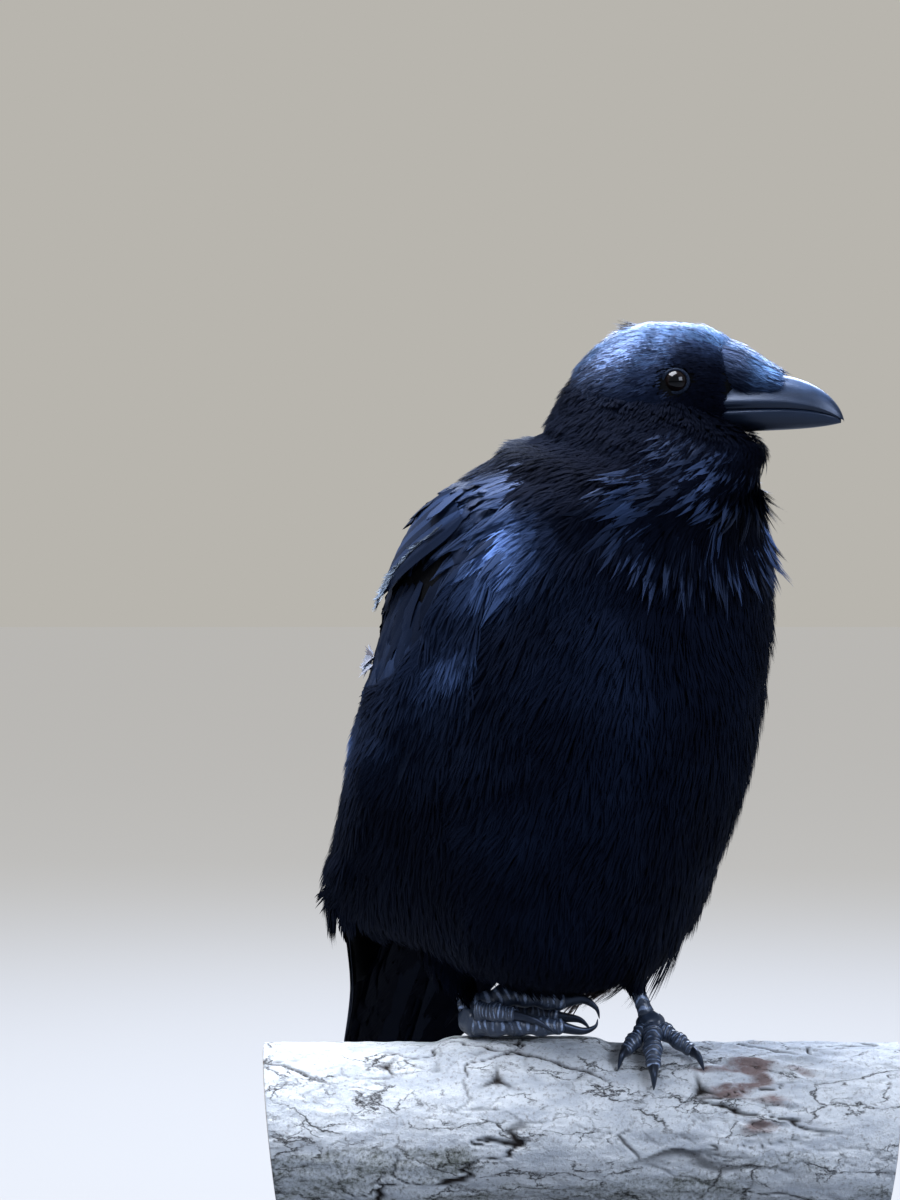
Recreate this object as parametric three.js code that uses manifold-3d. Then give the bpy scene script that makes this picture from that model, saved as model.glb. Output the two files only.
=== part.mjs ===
// A common raven at life size, standing fluffed up on a short cut length of weathered limb,
// which two short rods carry on a flat base. One leg bears the weight, the other foot is
// closed like a fist, and the head is turned to the bird's left.
// Millimetres, +Z up. The origin is the middle of the base's underside.
// The limb runs along X. The bird is modelled facing +X with its left at +Y, then turned.

import * as THREE from 'three';
import { mergeVertices } from 'three/addons/utils/BufferGeometryUtils.js';
import Module from 'manifold-3d';

const wasm = await Module();
wasm.setup();

// ---------------------------------------------------------------- driving dimensions

const GAP = 0.35; // clear space left between pieces that touch
const SKIRT = 0.4; // how much a neighbour is grown before it is cut away
const HALF_SPACE = 1200; // edge of the block that stands for half of space in a cut

// Stand and limb
const BASE = { length: 250, width: 170, height: 14, corner: 18 };
const ROD = { radius: 6, spacing: 170, socket: 16 };
const LIMB = {
  radius: 48,
  length: 332,
  centre: 99.5,
  wander: 2.2, // of its surface, away from the crest
  cutTilt: 0.1,
  patch: { x: -32, half: 44, height: 3.5 }, // of bark left on the crest, under the closed foot
};
const LIMB_TOP = LIMB.centre + LIMB.radius;

// Where the bird stands on the limb, and which way it faces
const BIRD = { x: 3.5, y: -4, heading: THREE.MathUtils.degToRad(-50) };
const NECK_AXIS = 48; // distance of the neck's turning axis in front of the bird's origin
const HEAD_TURN = THREE.MathUtils.degToRad(33);

// Sections of trunk and neck, from the belly up to a dome inside the head. Each is an egg in a
// plane: its back and front points are [distance from the neck axis, height], then half its
// width, and how far the body has turned to the left there, as a share of HEAD_TURN.
const BODY = [
  { back: [-76, 179], front: [-50, 179], half: 14, turn: 0 },
  { back: [-110, 186], front: [-25, 186], half: 48, turn: 0 },
  { back: [-138, 204], front: [-7, 202], half: 70, turn: 0 },
  { back: [-156, 240], front: [12, 238], half: 87, turn: 0 },
  { back: [-160, 290], front: [33, 288], half: 97, turn: 0 },
  { back: [-152, 344], front: [45, 342], half: 101, turn: 0 },
  { back: [-138, 402], front: [50, 396], half: 98, turn: 0 },
  { back: [-117, 442], front: [53, 424], half: 86, turn: 0.08 },
  { back: [-85, 467], front: [59, 438], half: 68, turn: 0.28 },
  { back: [-63, 474], front: [60, 447], half: 54, turn: 0.55 },
  { back: [-55, 485], front: [62, 456], half: 46, turn: 0.82 },
  { back: [-47, 498], front: [63, 464], half: 38, turn: 1 },
  { back: [-38, 508], front: [60, 469], half: 30, turn: 1 },
  { back: [-26, 513], front: [49, 477], half: 24, turn: 1 },
  { back: [-4, 514], front: [29, 494], half: 11, turn: 1 },
];
// The planes that part the trunk from the neck and the neck from the head
const SHOULDERS = { back: [-85, 465], front: [57, 440] };
const NAPE = { back: [-60, 498], front: [80, 462] };

// Sections of the head across its own axis, from the back of the head to the bill's root. The
// jowl is the share by which the cheeks are wider than the crown.
const HEAD = [
  { along: -41, top: 502, bottom: 478, half: 9, jowl: 0.3 },
  { along: -34, top: 514, bottom: 466, half: 22, jowl: 0.35 },
  { along: -20, top: 525, bottom: 462, half: 28, jowl: 0.35 },
  { along: -4, top: 531, bottom: 461, half: 29.5, jowl: 0.3 },
  { along: 11, top: 532, bottom: 463, half: 26.3, jowl: 0.25 },
  { along: 26, top: 530.6, bottom: 468, half: 22.6, jowl: 0.15 },
  { along: 37, top: 526.5, bottom: 472, half: 19.5, jowl: 0.06 },
  { along: 46, top: 521, bottom: 474, half: 15.6, jowl: 0 },
];

// The pad of stiff bristles that runs from the forehead over the top of the bill.
const BRISTLES = [
  { along: 39, top: 525.5, bottom: 496, half: 15 },
  { along: 49, top: 520, bottom: 491, half: 15.5 },
  { along: 58, top: 514.5, bottom: 490, half: 14.5 },
  { along: 66, top: 509, bottom: 491, half: 12.5 },
  { along: 72, top: 502, bottom: 494, half: 8 },
];

// Folded wing, from the shoulder to the tip: the height of each section, and the ellipse that
// it lies on (its centre, its half axes along and across the bird), how far round that ellipse
// it reaches from the breast side to the back, in degrees, and half its thickness.
const WING = [
  { z: 456, centre: 14, along: 60, across: 62, from: 100, to: 142, half: 3 },
  { z: 441, centre: 8, along: 76, across: 82, from: 84, to: 156, half: 5 },
  { z: 405, centre: -2, along: 90, across: 97, from: 80, to: 166, half: 6 },
  { z: 360, centre: -8, along: 102, across: 102, from: 84, to: 171, half: 7 },
  { z: 310, centre: -17, along: 106, across: 105, from: 94, to: 173, half: 7 },
  { z: 262, centre: -38, along: 100, across: 99, from: 104, to: 174, half: 7 },
  { z: 222, centre: -64, along: 88, across: 91, from: 114, to: 174, half: 6 },
  { z: 170, centre: -102, along: 62, across: 65, from: 122, to: 173, half: 4.5 },
  { z: 120, centre: -143, along: 44, across: 47, from: 132, to: 172, half: 3 },
  { z: 74, centre: -181, along: 28, across: 30, from: 146, to: 170, half: 1.5 },
];

const TAIL = {
  root: -92,
  height: 272,
  length: 236,
  lean: 0.47, // radians from the vertical
  half: 37, // of its width when closed
  thick: 4, // half, at its root
  wedge: 34, // by which the outer feathers are shorter
  arch: 6, // by which the sides lie further forward than the middle
};

// Bill, as distances from the neck axis along the head and heights
const BILL = {
  root: 40,
  tip: 103.5,
  overhang: 3, // of the upper bill past the lower
  ridge: 505.5,
  tipHeight: 477,
  gape: 484.6,
  keel: 474.2,
  rise: 1.6, // of the keel towards the tip
  halfWidth: 14.5,
  point: 0.5,
};
const EYE = { along: 19, height: 500.8, radius: 7, out: 26.4 };

// Legs: where each foot's pad stands, and the joints that its leg passes, along and across the
// limb. The sleeve is how far down the bare shank the thigh's feathers reach.
const TARSUS = { radius: 3.4 };
const THIGH = { top: 24, cuff: 7 };
const FEET = {
  left: { x: 37, y: -7, z: LIMB_TOP + 8, hip: [2, 2, 262], ankle: [16, -2, 215], sleeve: 0.6 },
  right: { x: -61, y: 0, z: LIMB_TOP + 14, hip: [-44, 10, 262], ankle: [-71, 9, 207], sleeve: 0.62 },
};

// How finely each shape is divided, as [round it, along it]
const FINE = {
  body: [28, 34],
  head: [22, 11],
  bristles: [16, 5],
  bill: [16, 10],
  wing: [16, 18],
  tail: [20, 8],
  thigh: [14, 7],
  tarsus: [8, 4],
  toe: [7, 5],
  claw: [6, 5],
  limb: [28, 12],
  eye: [12, 8],
  rod: 20,
  corner: 5,
};

// ---------------------------------------------------------------- colours

const FINISH = {
  plumage: { color: 0x12151d, roughness: 0.55, metalness: 0 },
  flight: { color: 0x10131b, roughness: 0.42, metalness: 0 },
  horn: { color: 0x1d2127, roughness: 0.32, metalness: 0 },
  eye: { color: 0x15110f, roughness: 0.08, metalness: 0 },
  scute: { color: 0x22262c, roughness: 0.5, metalness: 0 },
  wood: { color: 0xb4b1ab, roughness: 0.85, metalness: 0 },
  steel: { color: 0x6d6f72, roughness: 0.4, metalness: 0.8 },
  board: { color: 0x2b2a29, roughness: 0.5, metalness: 0 },
};

// ---------------------------------------------------------------- making and cutting solids

// A closed skin of rings: place(u, v) is the surface, where u runs along it from 0 to 1 and v is
// the angle round it. Each end is closed flat, across the middle of its ring.
function loft(around, along, place) {
  const geometry = new THREE.CylinderGeometry(1, 1, 1, around, along);
  geometry.deleteAttribute('normal');
  geometry.deleteAttribute('uv');
  const position = geometry.attributes.position;
  const middles = [0, 1].map((u) => middleOfRing(around, u, place));
  for (let i = 0; i < position.count; i += 1) {
    const x = position.getX(i);
    const z = position.getZ(i);
    const u = Math.round((position.getY(i) + 0.5) * along) / along;
    const turn = Math.round((Math.atan2(x, z) / (2 * Math.PI)) * around + around) % around;
    const onRing = Math.hypot(x, z) > 0.5;
    const point = onRing ? place(u, (turn / around) * 2 * Math.PI) : middles[Math.round(u)];
    position.setXYZ(i, point.x, point.y, point.z);
  }
  return outward(mergeVertices(geometry, 1e-4));
}

function middleOfRing(around, u, place) {
  const middle = new THREE.Vector3();
  for (let i = 0; i < around; i += 1) {
    middle.add(place(u, (i / around) * 2 * Math.PI));
  }
  return middle.divideScalar(around);
}

// Turns a closed surface's faces to the outside, if its signed volume says they point in.
function outward(geometry) {
  const position = geometry.attributes.position;
  const index = geometry.index.array;
  const corner = [new THREE.Vector3(), new THREE.Vector3(), new THREE.Vector3()];
  let volume = 0;
  for (let i = 0; i < index.length; i += 3) {
    corner.forEach((point, k) => point.fromBufferAttribute(position, index[i + k]));
    volume += corner[0].dot(corner[1].cross(corner[2]));
  }
  if (volume < 0) {
    for (let i = 0; i < index.length; i += 3) {
      [index[i], index[i + 1]] = [index[i + 1], index[i]];
    }
  }
  return geometry;
}

function solid(geometry) {
  let plain = geometry;
  if (geometry.attributes.normal) {
    plain = geometry.clone();
    plain.deleteAttribute('normal');
    plain.deleteAttribute('uv');
    plain = mergeVertices(plain, 1e-4);
  }
  return new wasm.Manifold(
    new wasm.Mesh({
      numProp: 3,
      vertProperties: new Float32Array(plain.attributes.position.array),
      triVerts: new Uint32Array(plain.index.array),
    }),
  );
}

function geometryOf(manifold) {
  const mesh = manifold.getMesh();
  const geometry = new THREE.BufferGeometry();
  geometry.setAttribute('position', new THREE.BufferAttribute(mesh.vertProperties, 3));
  geometry.setIndex(new THREE.BufferAttribute(mesh.triVerts, 1));
  return geometry;
}

// The largest single body left of a solid once others have been cut from it.
function cutAway(shape, others = []) {
  const left = others.reduce((rest, other) => rest.subtract(other), shape);
  return left.decompose().sort((a, b) => b.volume() - a.volume())[0];
}

// The half of space above or below a plane that leans along X, as a block far larger than the
// bird. The plane goes through two points of the middle plane, and stands off it by half a gap.
function halfSpace(plane, sign) {
  const [x0, z0] = plane.back;
  const [x1, z1] = plane.front;
  const block = new THREE.BoxGeometry(HALF_SPACE, HALF_SPACE, HALF_SPACE);
  block.translate(0, 0, sign * (HALF_SPACE / 2 + GAP / 2));
  block.rotateY(Math.atan2(z0 - z1, x1 - x0));
  return solid(block.translate(NECK_AXIS + (x0 + x1) / 2, 0, (z0 + z1) / 2));
}

function piece(name, geometry, finish) {
  const mesh = new THREE.Mesh(geometry, new THREE.MeshStandardMaterial(FINISH[finish]));
  mesh.name = name;
  return mesh;
}

// ---------------------------------------------------------------- curves through stations

// A smooth value through evenly numbered stations, as a Catmull-Rom spline.
function between(values, at) {
  const last = values.length - 1;
  const i = Math.min(Math.floor(at), last - 1);
  const t = at - i;
  const [a, b, c, d] = [i - 1, i, i + 1, i + 2].map((k) => values[Math.max(0, Math.min(last, k))]);
  const bend = 2 * a - 5 * b + 4 * c - d;
  const twist = 3 * b - a - 3 * c + d;
  return b + 0.5 * t * (c - a + t * (bend + t * twist));
}

// Reads any one measure of a row of stations at a place between them.
function reader(stations, share) {
  return (pick) => between(stations.map(pick), share * (stations.length - 1));
}

// A point of the head's or neck's upright middle plane once it is turned left about the neck
// axis: along is the distance in front of that axis, side the distance to its left.
function turned(along, side, height, turn) {
  const cos = Math.cos(turn);
  const sin = Math.sin(turn);
  return new THREE.Vector3(NECK_AXIS + along * cos - side * sin, along * sin + side * cos, height);
}

// ---------------------------------------------------------------- trunk, neck and head

// The outside of trunk and neck, where v is 0 at the breast and rises round the left side.
function bodyPoint(u, v, grow = 0) {
  const read = reader(BODY, u);
  const back = [read((s) => s.back[0]), read((s) => s.back[1])];
  const front = [read((s) => s.front[0]), read((s) => s.front[1])];
  const reach = Math.hypot(front[0] - back[0], front[1] - back[1]);
  const share = 0.5 + (0.5 + grow / reach) * Math.cos(v);
  const along = back[0] + (front[0] - back[0]) * share;
  const height = back[1] + (front[1] - back[1]) * share;
  const side = (read((s) => s.half) + grow) * Math.sin(v);
  return turned(along, side, height, read((s) => s.turn) * HEAD_TURN);
}

// A shape along the head's axis, where v is 0 at the top.
function headPoint(stations, u, v, grow = 0) {
  const read = reader(stations, u);
  const top = read((s) => s.top) + grow;
  const bottom = read((s) => s.bottom) - grow;
  const height = (top + bottom) / 2 + ((top - bottom) / 2) * Math.cos(v);
  const jowl = 1 + read((s) => s.jowl ?? 0) * ((1 - Math.cos(v)) / 2) ** 2;
  const side = (read((s) => s.half) + grow) * jowl * Math.sin(v);
  return turned(read((s) => s.along), side, height, HEAD_TURN);
}

// ---------------------------------------------------------------- eyes and bill

function eyeball(side, grow = 0) {
  const geometry = new THREE.SphereGeometry(EYE.radius + grow, ...FINE.eye);
  const sunk = EYE.out - EYE.radius;
  const centre = turned(EYE.along, side * sunk, EYE.height, HEAD_TURN);
  return geometry.translate(centre.x, centre.y, centre.z);
}

// How far the cutting edges have dropped at a share of the bill's length.
function gapeHeight(u) {
  return BILL.gape - 7.4 * u ** 6 + 0.8 * Math.sin(Math.PI * u);
}

// One half of the bill: its outer line (the ridge or the keel), its cutting edge, and half its
// width, which is greatest at a share of the way from the cutting edge to the outer line.
function billPoint(along, v, outer, edge, half, widest, grow) {
  const height = Math.cos(v);
  const middle = edge + (outer - edge) * widest;
  const reach = height > 0 ? outer - middle : middle - edge;
  const narrowing = height > 0 ? 1 - 0.35 * height * height : 1;
  const lift = Math.sign(outer - edge) * grow * height;
  return turned(along, (half * narrowing + grow) * Math.sin(v), middle + reach * height + lift, HEAD_TURN);
}

// The upper bill's ridge is an arc that steepens to the hooked tip.
function upperBillPoint(u, v, grow = 0) {
  const along = BILL.root + (BILL.tip - BILL.root) * u - grow * (1 - u);
  const ridge = BILL.tipHeight + (BILL.ridge - BILL.tipHeight) * (1 - u ** 3.2) ** 0.62;
  const half = BILL.halfWidth * (1 - 0.2 * u) * (1 - u ** 2.6) ** 0.6 + BILL.point;
  return billPoint(along, v, ridge, gapeHeight(u), half, 0.3, grow);
}

function lowerBillPoint(u, v, grow = 0) {
  const along = BILL.root + (BILL.tip - BILL.overhang - BILL.root) * u - grow * (1 - u);
  const keel = BILL.keel + BILL.rise * u;
  const half = (BILL.halfWidth - 1.2) * (1 - 0.25 * u) * (1 - u ** 2.8) ** 0.6 + BILL.point;
  return billPoint(along, v, keel, gapeHeight(u) - GAP, half, 0.3, grow);
}

// ---------------------------------------------------------------- wings and tail

// The folded wing at share u from shoulder to tip. Its section is a thin lens bent round an
// ellipse about the bird: v runs round the lens, and side is 1 on the bird's left.
function wingPoint(u, v, side, grow = 0) {
  const read = reader(WING, u);
  const from = read((s) => s.from);
  const to = read((s) => s.to);
  const across = (1 - Math.cos(v)) / 2;
  const angle = THREE.MathUtils.degToRad(from + (to - from) * across);
  const out = (read((s) => s.half) + grow) * Math.sin(v);
  const x = read((s) => s.centre) + (read((s) => s.along) + out) * Math.cos(angle);
  const y = (read((s) => s.across) + out) * Math.sin(angle);
  return new THREE.Vector3(x, side * y, read((s) => s.z));
}

// The closed tail: a slab that widens from its root, arched across, with a wedge-shaped end.
function tailPoint(u, v, grow = 0) {
  const across = Math.cos(v);
  const opened = Math.sin((Math.PI / 2) * Math.min(1, u * 1.4));
  const half = TAIL.half * (0.62 + 0.38 * opened);
  const reach = u * (TAIL.length - TAIL.wedge * across * across);
  const thick = (TAIL.thick * (1 - 0.62 * u) + grow) * Math.sin(v) + TAIL.arch * across * across;
  const x = TAIL.root - reach * Math.sin(TAIL.lean) + thick * Math.cos(TAIL.lean);
  const z = TAIL.height - reach * Math.cos(TAIL.lean) - thick * Math.sin(TAIL.lean);
  return new THREE.Vector3(x, (half + grow) * across, z);
}

function tailShape(grow = 0) {
  return solid(loft(...FINE.tail, (u, v) => tailPoint(u, v, grow)));
}

// ---------------------------------------------------------------- legs

// A round bar through points, whose radius follows a function of the share of its length.
function bar(points, radius, around, along) {
  const curve = new THREE.CatmullRomCurve3(points.map((p) => new THREE.Vector3(...p)));
  const frames = curve.computeFrenetFrames(along, false);
  return loft(around, along, (u, v) => {
    const k = Math.round(u * along);
    const size = radius(u);
    return curve
      .getPointAt(u)
      .addScaledVector(frames.normals[k], Math.cos(v) * size)
      .addScaledVector(frames.binormals[k], Math.sin(v) * size);
  });
}

// A point over the limb: x along it, angle forward from its crest, and height off the bark.
function overLimb(x, angle, off) {
  const reach = limbRadius(x, angle) + off;
  return [x, -reach * Math.sin(angle), LIMB.centre + reach * Math.cos(angle)];
}

// A toe's taper, with its swellings between the joints.
function toeRadius(size, joints) {
  return (u) => size * (1 - 0.28 * u) * (1 + 0.1 * Math.cos(2 * Math.PI * joints * u));
}

function clawRadius(size) {
  return (u) => size * (1 - u) ** 0.75 + 0.28;
}

// Toes of the foot that grips, the hind toe first: how far each spreads along the limb as it
// goes round it, the angle that it reaches round the limb from its crest, half its thickness,
// and the angle of its claw beyond that. Forward is towards -Y.
const GRIP = [
  { spread: 0.1, reach: -0.62, size: 4.4, claw: 0.26 },
  { spread: -0.62, reach: 0.5, size: 4, claw: 0.2 },
  { spread: 0.0, reach: 0.76, size: 4.5, claw: 0.2 },
  { spread: 1.05, reach: 0.55, size: 4, claw: 0.2 },
];

// The middle lines of a gripping toe and its claw. The toe leaves the foot's pad high, arches
// slightly off the bark between its ends, and the claw's tip comes down to the bark.
function gripToe(toe, foot) {
  const way = Math.sign(toe.reach);
  const start = way * 0.14;
  const tip = toe.reach + way * toe.claw;
  const at = (share, angle, off) => {
    const x = foot.x + toe.spread * LIMB.radius * share * Math.abs(toe.reach);
    return overLimb(x, angle, off);
  };
  const lift = (share) => toe.size + GAP + 1.6 * (1 - share) + 1.2 * Math.sin(Math.PI * share);
  const points = [0, 0.33, 0.67, 1].map((s) => at(s, start + (toe.reach - start) * s, lift(s)));
  const clawPoints = [
    at(1.03, toe.reach + way * 0.012, toe.size + 0.6),
    at(1.15, (toe.reach + tip) / 2, toe.size + 0.9),
    at(1.25, tip, 0.9),
  ];
  return { size: toe.size, points, clawPoints };
}

// Toes of the closed foot: joints and claw, as distances along the limb from the foot's pad,
// across it and above its crest.
const FIST = [
  {
    size: 3.6,
    joints: [[2, 1, 4.2], [16, 0, 4.2], [30, -1, 4.3]],
    claw: [[34, -1, 4.2], [48, -2, 3.6], [58, -3, 7]],
  },
  {
    size: 3.6,
    joints: [[6, 9, 9], [20, 10, 13], [34, 9, 8]],
    claw: [[37.5, 8.6, 7], [46, 7, 4.5], [50, 5, 1.6]],
  },
  {
    size: 4.2,
    joints: [[8, 0, 15], [22, -1, 19.5], [38, -2, 19], [50, -3, 16]],
    claw: [[54, -3, 14.6], [66, -3, 11], [65, -3, 4.5]],
  },
  {
    size: 3.7,
    joints: [[6, -9, 8], [20, -11, 9.5], [34, -11.5, 8.5]],
    claw: [[38, -11.6, 8], [48, -12, 7], [55, -11, 2.2]],
  },
];

function fistPoint(foot, [along, across, up]) {
  return [foot.x + along, foot.y + across, LIMB_TOP + LIMB.patch.height + up + GAP];
}

function fistToe(toe, foot) {
  return {
    size: toe.size,
    points: toe.joints.map((p) => fistPoint(foot, p)),
    clawPoints: toe.claw.map((p) => fistPoint(foot, p)),
  };
}

function mix(a, b, share) {
  return a.map((value, i) => value + (b[i] - value) * share);
}

function tarsus(foot, grow = 0) {
  const pad = [foot.x, foot.y, foot.z];
  const points = [foot.ankle, mix(foot.ankle, pad, 0.5), pad];
  const radius = (u) => TARSUS.radius * (1 + 0.3 * u ** 4 + 0.25 * (1 - u) ** 3) + grow;
  return bar(points, radius, ...FINE.tarsus);
}

// Feathered lower thigh, a cone from inside the belly down towards the foot.
function thigh(foot, grow = 0) {
  const pad = [foot.x, foot.y, foot.z];
  const points = [foot.hip, foot.ankle, mix(foot.ankle, pad, foot.sleeve)];
  return bar(points, (u) => THIGH.top * (1 - u ** 1.6) + THIGH.cuff + grow, ...FINE.thigh);
}

// ---------------------------------------------------------------- limb and stand

// The limb's outside: nearly round, wandering slightly on its underside, with a patch of bark
// under the closed foot.
function limbRadius(x, angle) {
  const along = x / LIMB.length;
  const below = (1 - Math.cos(angle)) / 2;
  const wave = Math.sin(9 * along + 2 * angle) + 0.6 * Math.sin(17 * along - 3 * angle + 1);
  const onTop = Math.max(0, Math.cos(angle)) ** 3;
  const patch = LIMB.patch.height * onTop * Math.exp(-(((x - LIMB.patch.x) / LIMB.patch.half) ** 4));
  return LIMB.radius + LIMB.wander * wave * below + patch;
}

function limb(grow = 0) {
  return loft(...FINE.limb, (u, v) => {
    const x = LIMB.length * (u - 0.5);
    const angle = v;
    const reach = limbRadius(x, angle) + grow;
    const cut = LIMB.cutTilt * (2 * u - 1) ** 9 * reach * Math.cos(v);
    return new THREE.Vector3(x + cut, -reach * Math.sin(angle), LIMB.centre + reach * Math.cos(angle));
  });
}

function rod(side, grow = 0) {
  const top = LIMB.centre - LIMB.radius + ROD.socket;
  const bottom = BASE.height + GAP;
  const height = top - bottom + grow;
  const geometry = new THREE.CylinderGeometry(ROD.radius + grow, ROD.radius + grow, height, FINE.rod);
  geometry.rotateX(Math.PI / 2);
  return geometry.translate((side * ROD.spacing) / 2, 0, bottom + height / 2);
}

function basePlate() {
  const { length, width, height, corner } = BASE;
  const outline = new THREE.Shape();
  outline.absarc(length / 2 - corner, width / 2 - corner, corner, 0, Math.PI / 2);
  outline.absarc(corner - length / 2, width / 2 - corner, corner, Math.PI / 2, Math.PI);
  outline.absarc(corner - length / 2, corner - width / 2, corner, Math.PI, 1.5 * Math.PI);
  outline.absarc(length / 2 - corner, corner - width / 2, corner, 1.5 * Math.PI, 2 * Math.PI);
  const options = { depth: height, bevelEnabled: false, curveSegments: FINE.corner };
  return new THREE.ExtrudeGeometry(outline, options);
}

// ---------------------------------------------------------------- assembly

const SIDES = { left: 1, right: -1 };

// Trunk, neck, head, bill, eyes, wings and tail, in the bird's own directions. Returns the body
// grown by the skirt, for the legs to be cut by.
function addBird(group) {
  const bodyGrown = solid(loft(...FINE.body, (u, v) => bodyPoint(u, v, SKIRT)));
  const shapes = [
    loft(...FINE.body, bodyPoint),
    loft(...FINE.head, (u, v) => headPoint(HEAD, u, v)),
    loft(...FINE.bristles, (u, v) => headPoint(BRISTLES, u, v)),
  ];
  const hollows = [
    eyeball(SIDES.left, GAP),
    eyeball(SIDES.right, GAP),
    loft(...FINE.bill, (u, v) => upperBillPoint(u, v, GAP)),
    loft(...FINE.bill, (u, v) => lowerBillPoint(u, v, GAP)),
  ];
  const flesh = cutAway(shapes.map(solid).reduce((a, b) => a.add(b)), hollows.map(solid));
  const parts = {
    trunk: flesh.intersect(halfSpace(SHOULDERS, -1)),
    neck: flesh.intersect(halfSpace(SHOULDERS, 1)).intersect(halfSpace(NAPE, -1)),
    head: flesh.intersect(halfSpace(NAPE, 1)),
  };
  for (const [name, part] of Object.entries(parts)) {
    group.add(piece(name, geometryOf(cutAway(part)), 'plumage'));
  }
  group.add(piece('upper_bill', loft(...FINE.bill, upperBillPoint), 'horn'));
  group.add(piece('lower_bill', loft(...FINE.bill, lowerBillPoint), 'horn'));
  group.add(piece('tail', geometryOf(cutAway(tailShape(), [bodyGrown])), 'flight'));
  for (const [name, side] of Object.entries(SIDES)) {
    const wing = solid(loft(...FINE.wing, (u, v) => wingPoint(u, v, side)));
    const shape = cutAway(wing, [bodyGrown, tailShape(SKIRT)]);
    group.add(piece(`wing_${name}`, geometryOf(shape), 'flight'));
    group.add(piece(`eye_${name}`, eyeball(side), 'eye'));
  }
  return bodyGrown;
}

// Legs, toes and claws. Each piece is cut by the ones it grows from.
function addLeg(group, side, foot, toes, body, bark) {
  const thighShape = solid(thigh(foot));
  const thighGrown = solid(thigh(foot, SKIRT));
  const shank = cutAway(solid(tarsus(foot)), [thighGrown, body]);
  const taken = [solid(tarsus(foot, SKIRT)), body];
  group.add(piece(`thigh_${side}`, geometryOf(cutAway(thighShape, [body])), 'plumage'));
  group.add(piece(`tarsus_${side}`, geometryOf(shank), 'scute'));
  toes.forEach((toe, i) => {
    const size = toeRadius(toe.size, toe.points.length - 1);
    const shape = cutAway(solid(bar(toe.points, size, ...FINE.toe)), taken);
    taken.push(solid(bar(toe.points, (u) => size(u) + SKIRT, ...FINE.toe)));
    group.add(piece(`toe_${side}_${i + 1}`, geometryOf(shape), 'scute'));
  });
  toes.forEach((toe, i) => {
    const size = clawRadius(toe.size * 0.66);
    const shape = cutAway(solid(bar(toe.clawPoints, size, ...FINE.claw)), [...taken, bark]);
    taken.push(solid(bar(toe.clawPoints, (u) => size(u) + SKIRT, ...FINE.claw)));
    group.add(piece(`claw_${side}_${i + 1}`, geometryOf(shape), 'horn'));
  });
}

function addStand(group) {
  const rods = Object.values(SIDES).map((side) => solid(rod(side, GAP)));
  group.add(piece('perch_limb', geometryOf(cutAway(solid(limb()), rods)), 'wood'));
  for (const [name, side] of Object.entries(SIDES)) {
    group.add(piece(`stand_rod_${name}`, rod(-side), 'steel'));
  }
  group.add(piece('stand_base', basePlate(), 'board'));
}

const raven = new THREE.Group();
const bird = new THREE.Group();
bird.position.set(BIRD.x, BIRD.y, 0);
bird.rotation.z = BIRD.heading;
bird.updateMatrix();
raven.add(bird);

const body = addBird(bird).transform(bird.matrix.elements);
const bark = solid(limb(SKIRT));
addLeg(raven, 'left', FEET.left, GRIP.map((toe) => gripToe(toe, FEET.left)), body, bark);
addLeg(raven, 'right', FEET.right, FIST.map((toe) => fistToe(toe, FEET.right)), body, bark);
addStand(raven);

export default raven;
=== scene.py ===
"""A common raven at life size, fluffed up on a short cut length of limb, on a plain display stand.

Sizes are in millimetres until a mesh is made. The bird is worked out facing +X with its left at
+Y, as the CAD solids are, and then turned and moved to where it stands on the limb.
"""

import math
from functools import partial

import bpy
import numpy as np
from bpy.props import FloatProperty, FloatVectorProperty, IntProperty, PointerProperty
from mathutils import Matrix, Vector


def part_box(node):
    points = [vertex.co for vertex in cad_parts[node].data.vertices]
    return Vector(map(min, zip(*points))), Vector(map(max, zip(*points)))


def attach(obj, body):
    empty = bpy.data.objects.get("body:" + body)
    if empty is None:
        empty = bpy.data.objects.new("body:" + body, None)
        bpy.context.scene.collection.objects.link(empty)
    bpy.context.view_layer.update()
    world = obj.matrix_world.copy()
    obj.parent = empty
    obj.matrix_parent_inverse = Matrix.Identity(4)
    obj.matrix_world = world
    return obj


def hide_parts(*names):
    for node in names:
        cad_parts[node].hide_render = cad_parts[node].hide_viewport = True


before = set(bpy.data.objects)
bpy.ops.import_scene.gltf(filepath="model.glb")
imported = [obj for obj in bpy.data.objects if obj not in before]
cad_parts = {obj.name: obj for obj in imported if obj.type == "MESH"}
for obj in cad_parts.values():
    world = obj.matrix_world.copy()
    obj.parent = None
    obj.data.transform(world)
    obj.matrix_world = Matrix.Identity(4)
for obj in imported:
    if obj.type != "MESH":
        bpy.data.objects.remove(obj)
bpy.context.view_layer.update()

bl_info = {
    "name": "Perched Raven",
    "version": (1, 0, 0),
    "blender": (4, 5, 0),
    "location": "View3D > Sidebar > Raven",
    "description": "Builds a life-size feathered raven on a limb around its CAD frame",
    "category": "Add Mesh",
}

# ---------------------------------------------------------------- sizes shared with the solids

MM = 0.001
TURN = 2 * math.pi

BIRD_AT = (3.5, -4.0)
HEADING = math.radians(-50)
NECK_AXIS = 48.0
HEAD_TURN = math.radians(33)

# Trunk and neck from the belly up: back point, front point, half width, share of the head's turn
BODY = np.array([
    (-76, 179, -50, 179, 14, 0),
    (-110, 186, -25, 186, 48, 0),
    (-138, 204, -7, 202, 70, 0),
    (-156, 240, 12, 238, 87, 0),
    (-160, 290, 33, 288, 97, 0),
    (-152, 344, 45, 342, 101, 0),
    (-138, 402, 50, 396, 98, 0),
    (-117, 442, 53, 424, 86, 0.08),
    (-85, 467, 59, 438, 68, 0.28),
    (-63, 474, 60, 447, 54, 0.55),
    (-55, 485, 62, 456, 46, 0.82),
    (-47, 498, 63, 464, 38, 1),
    (-38, 508, 60, 469, 30, 1),
    (-26, 513, 49, 477, 24, 1),
    (-4, 514, 29, 494, 11, 1),
], float)

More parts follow.
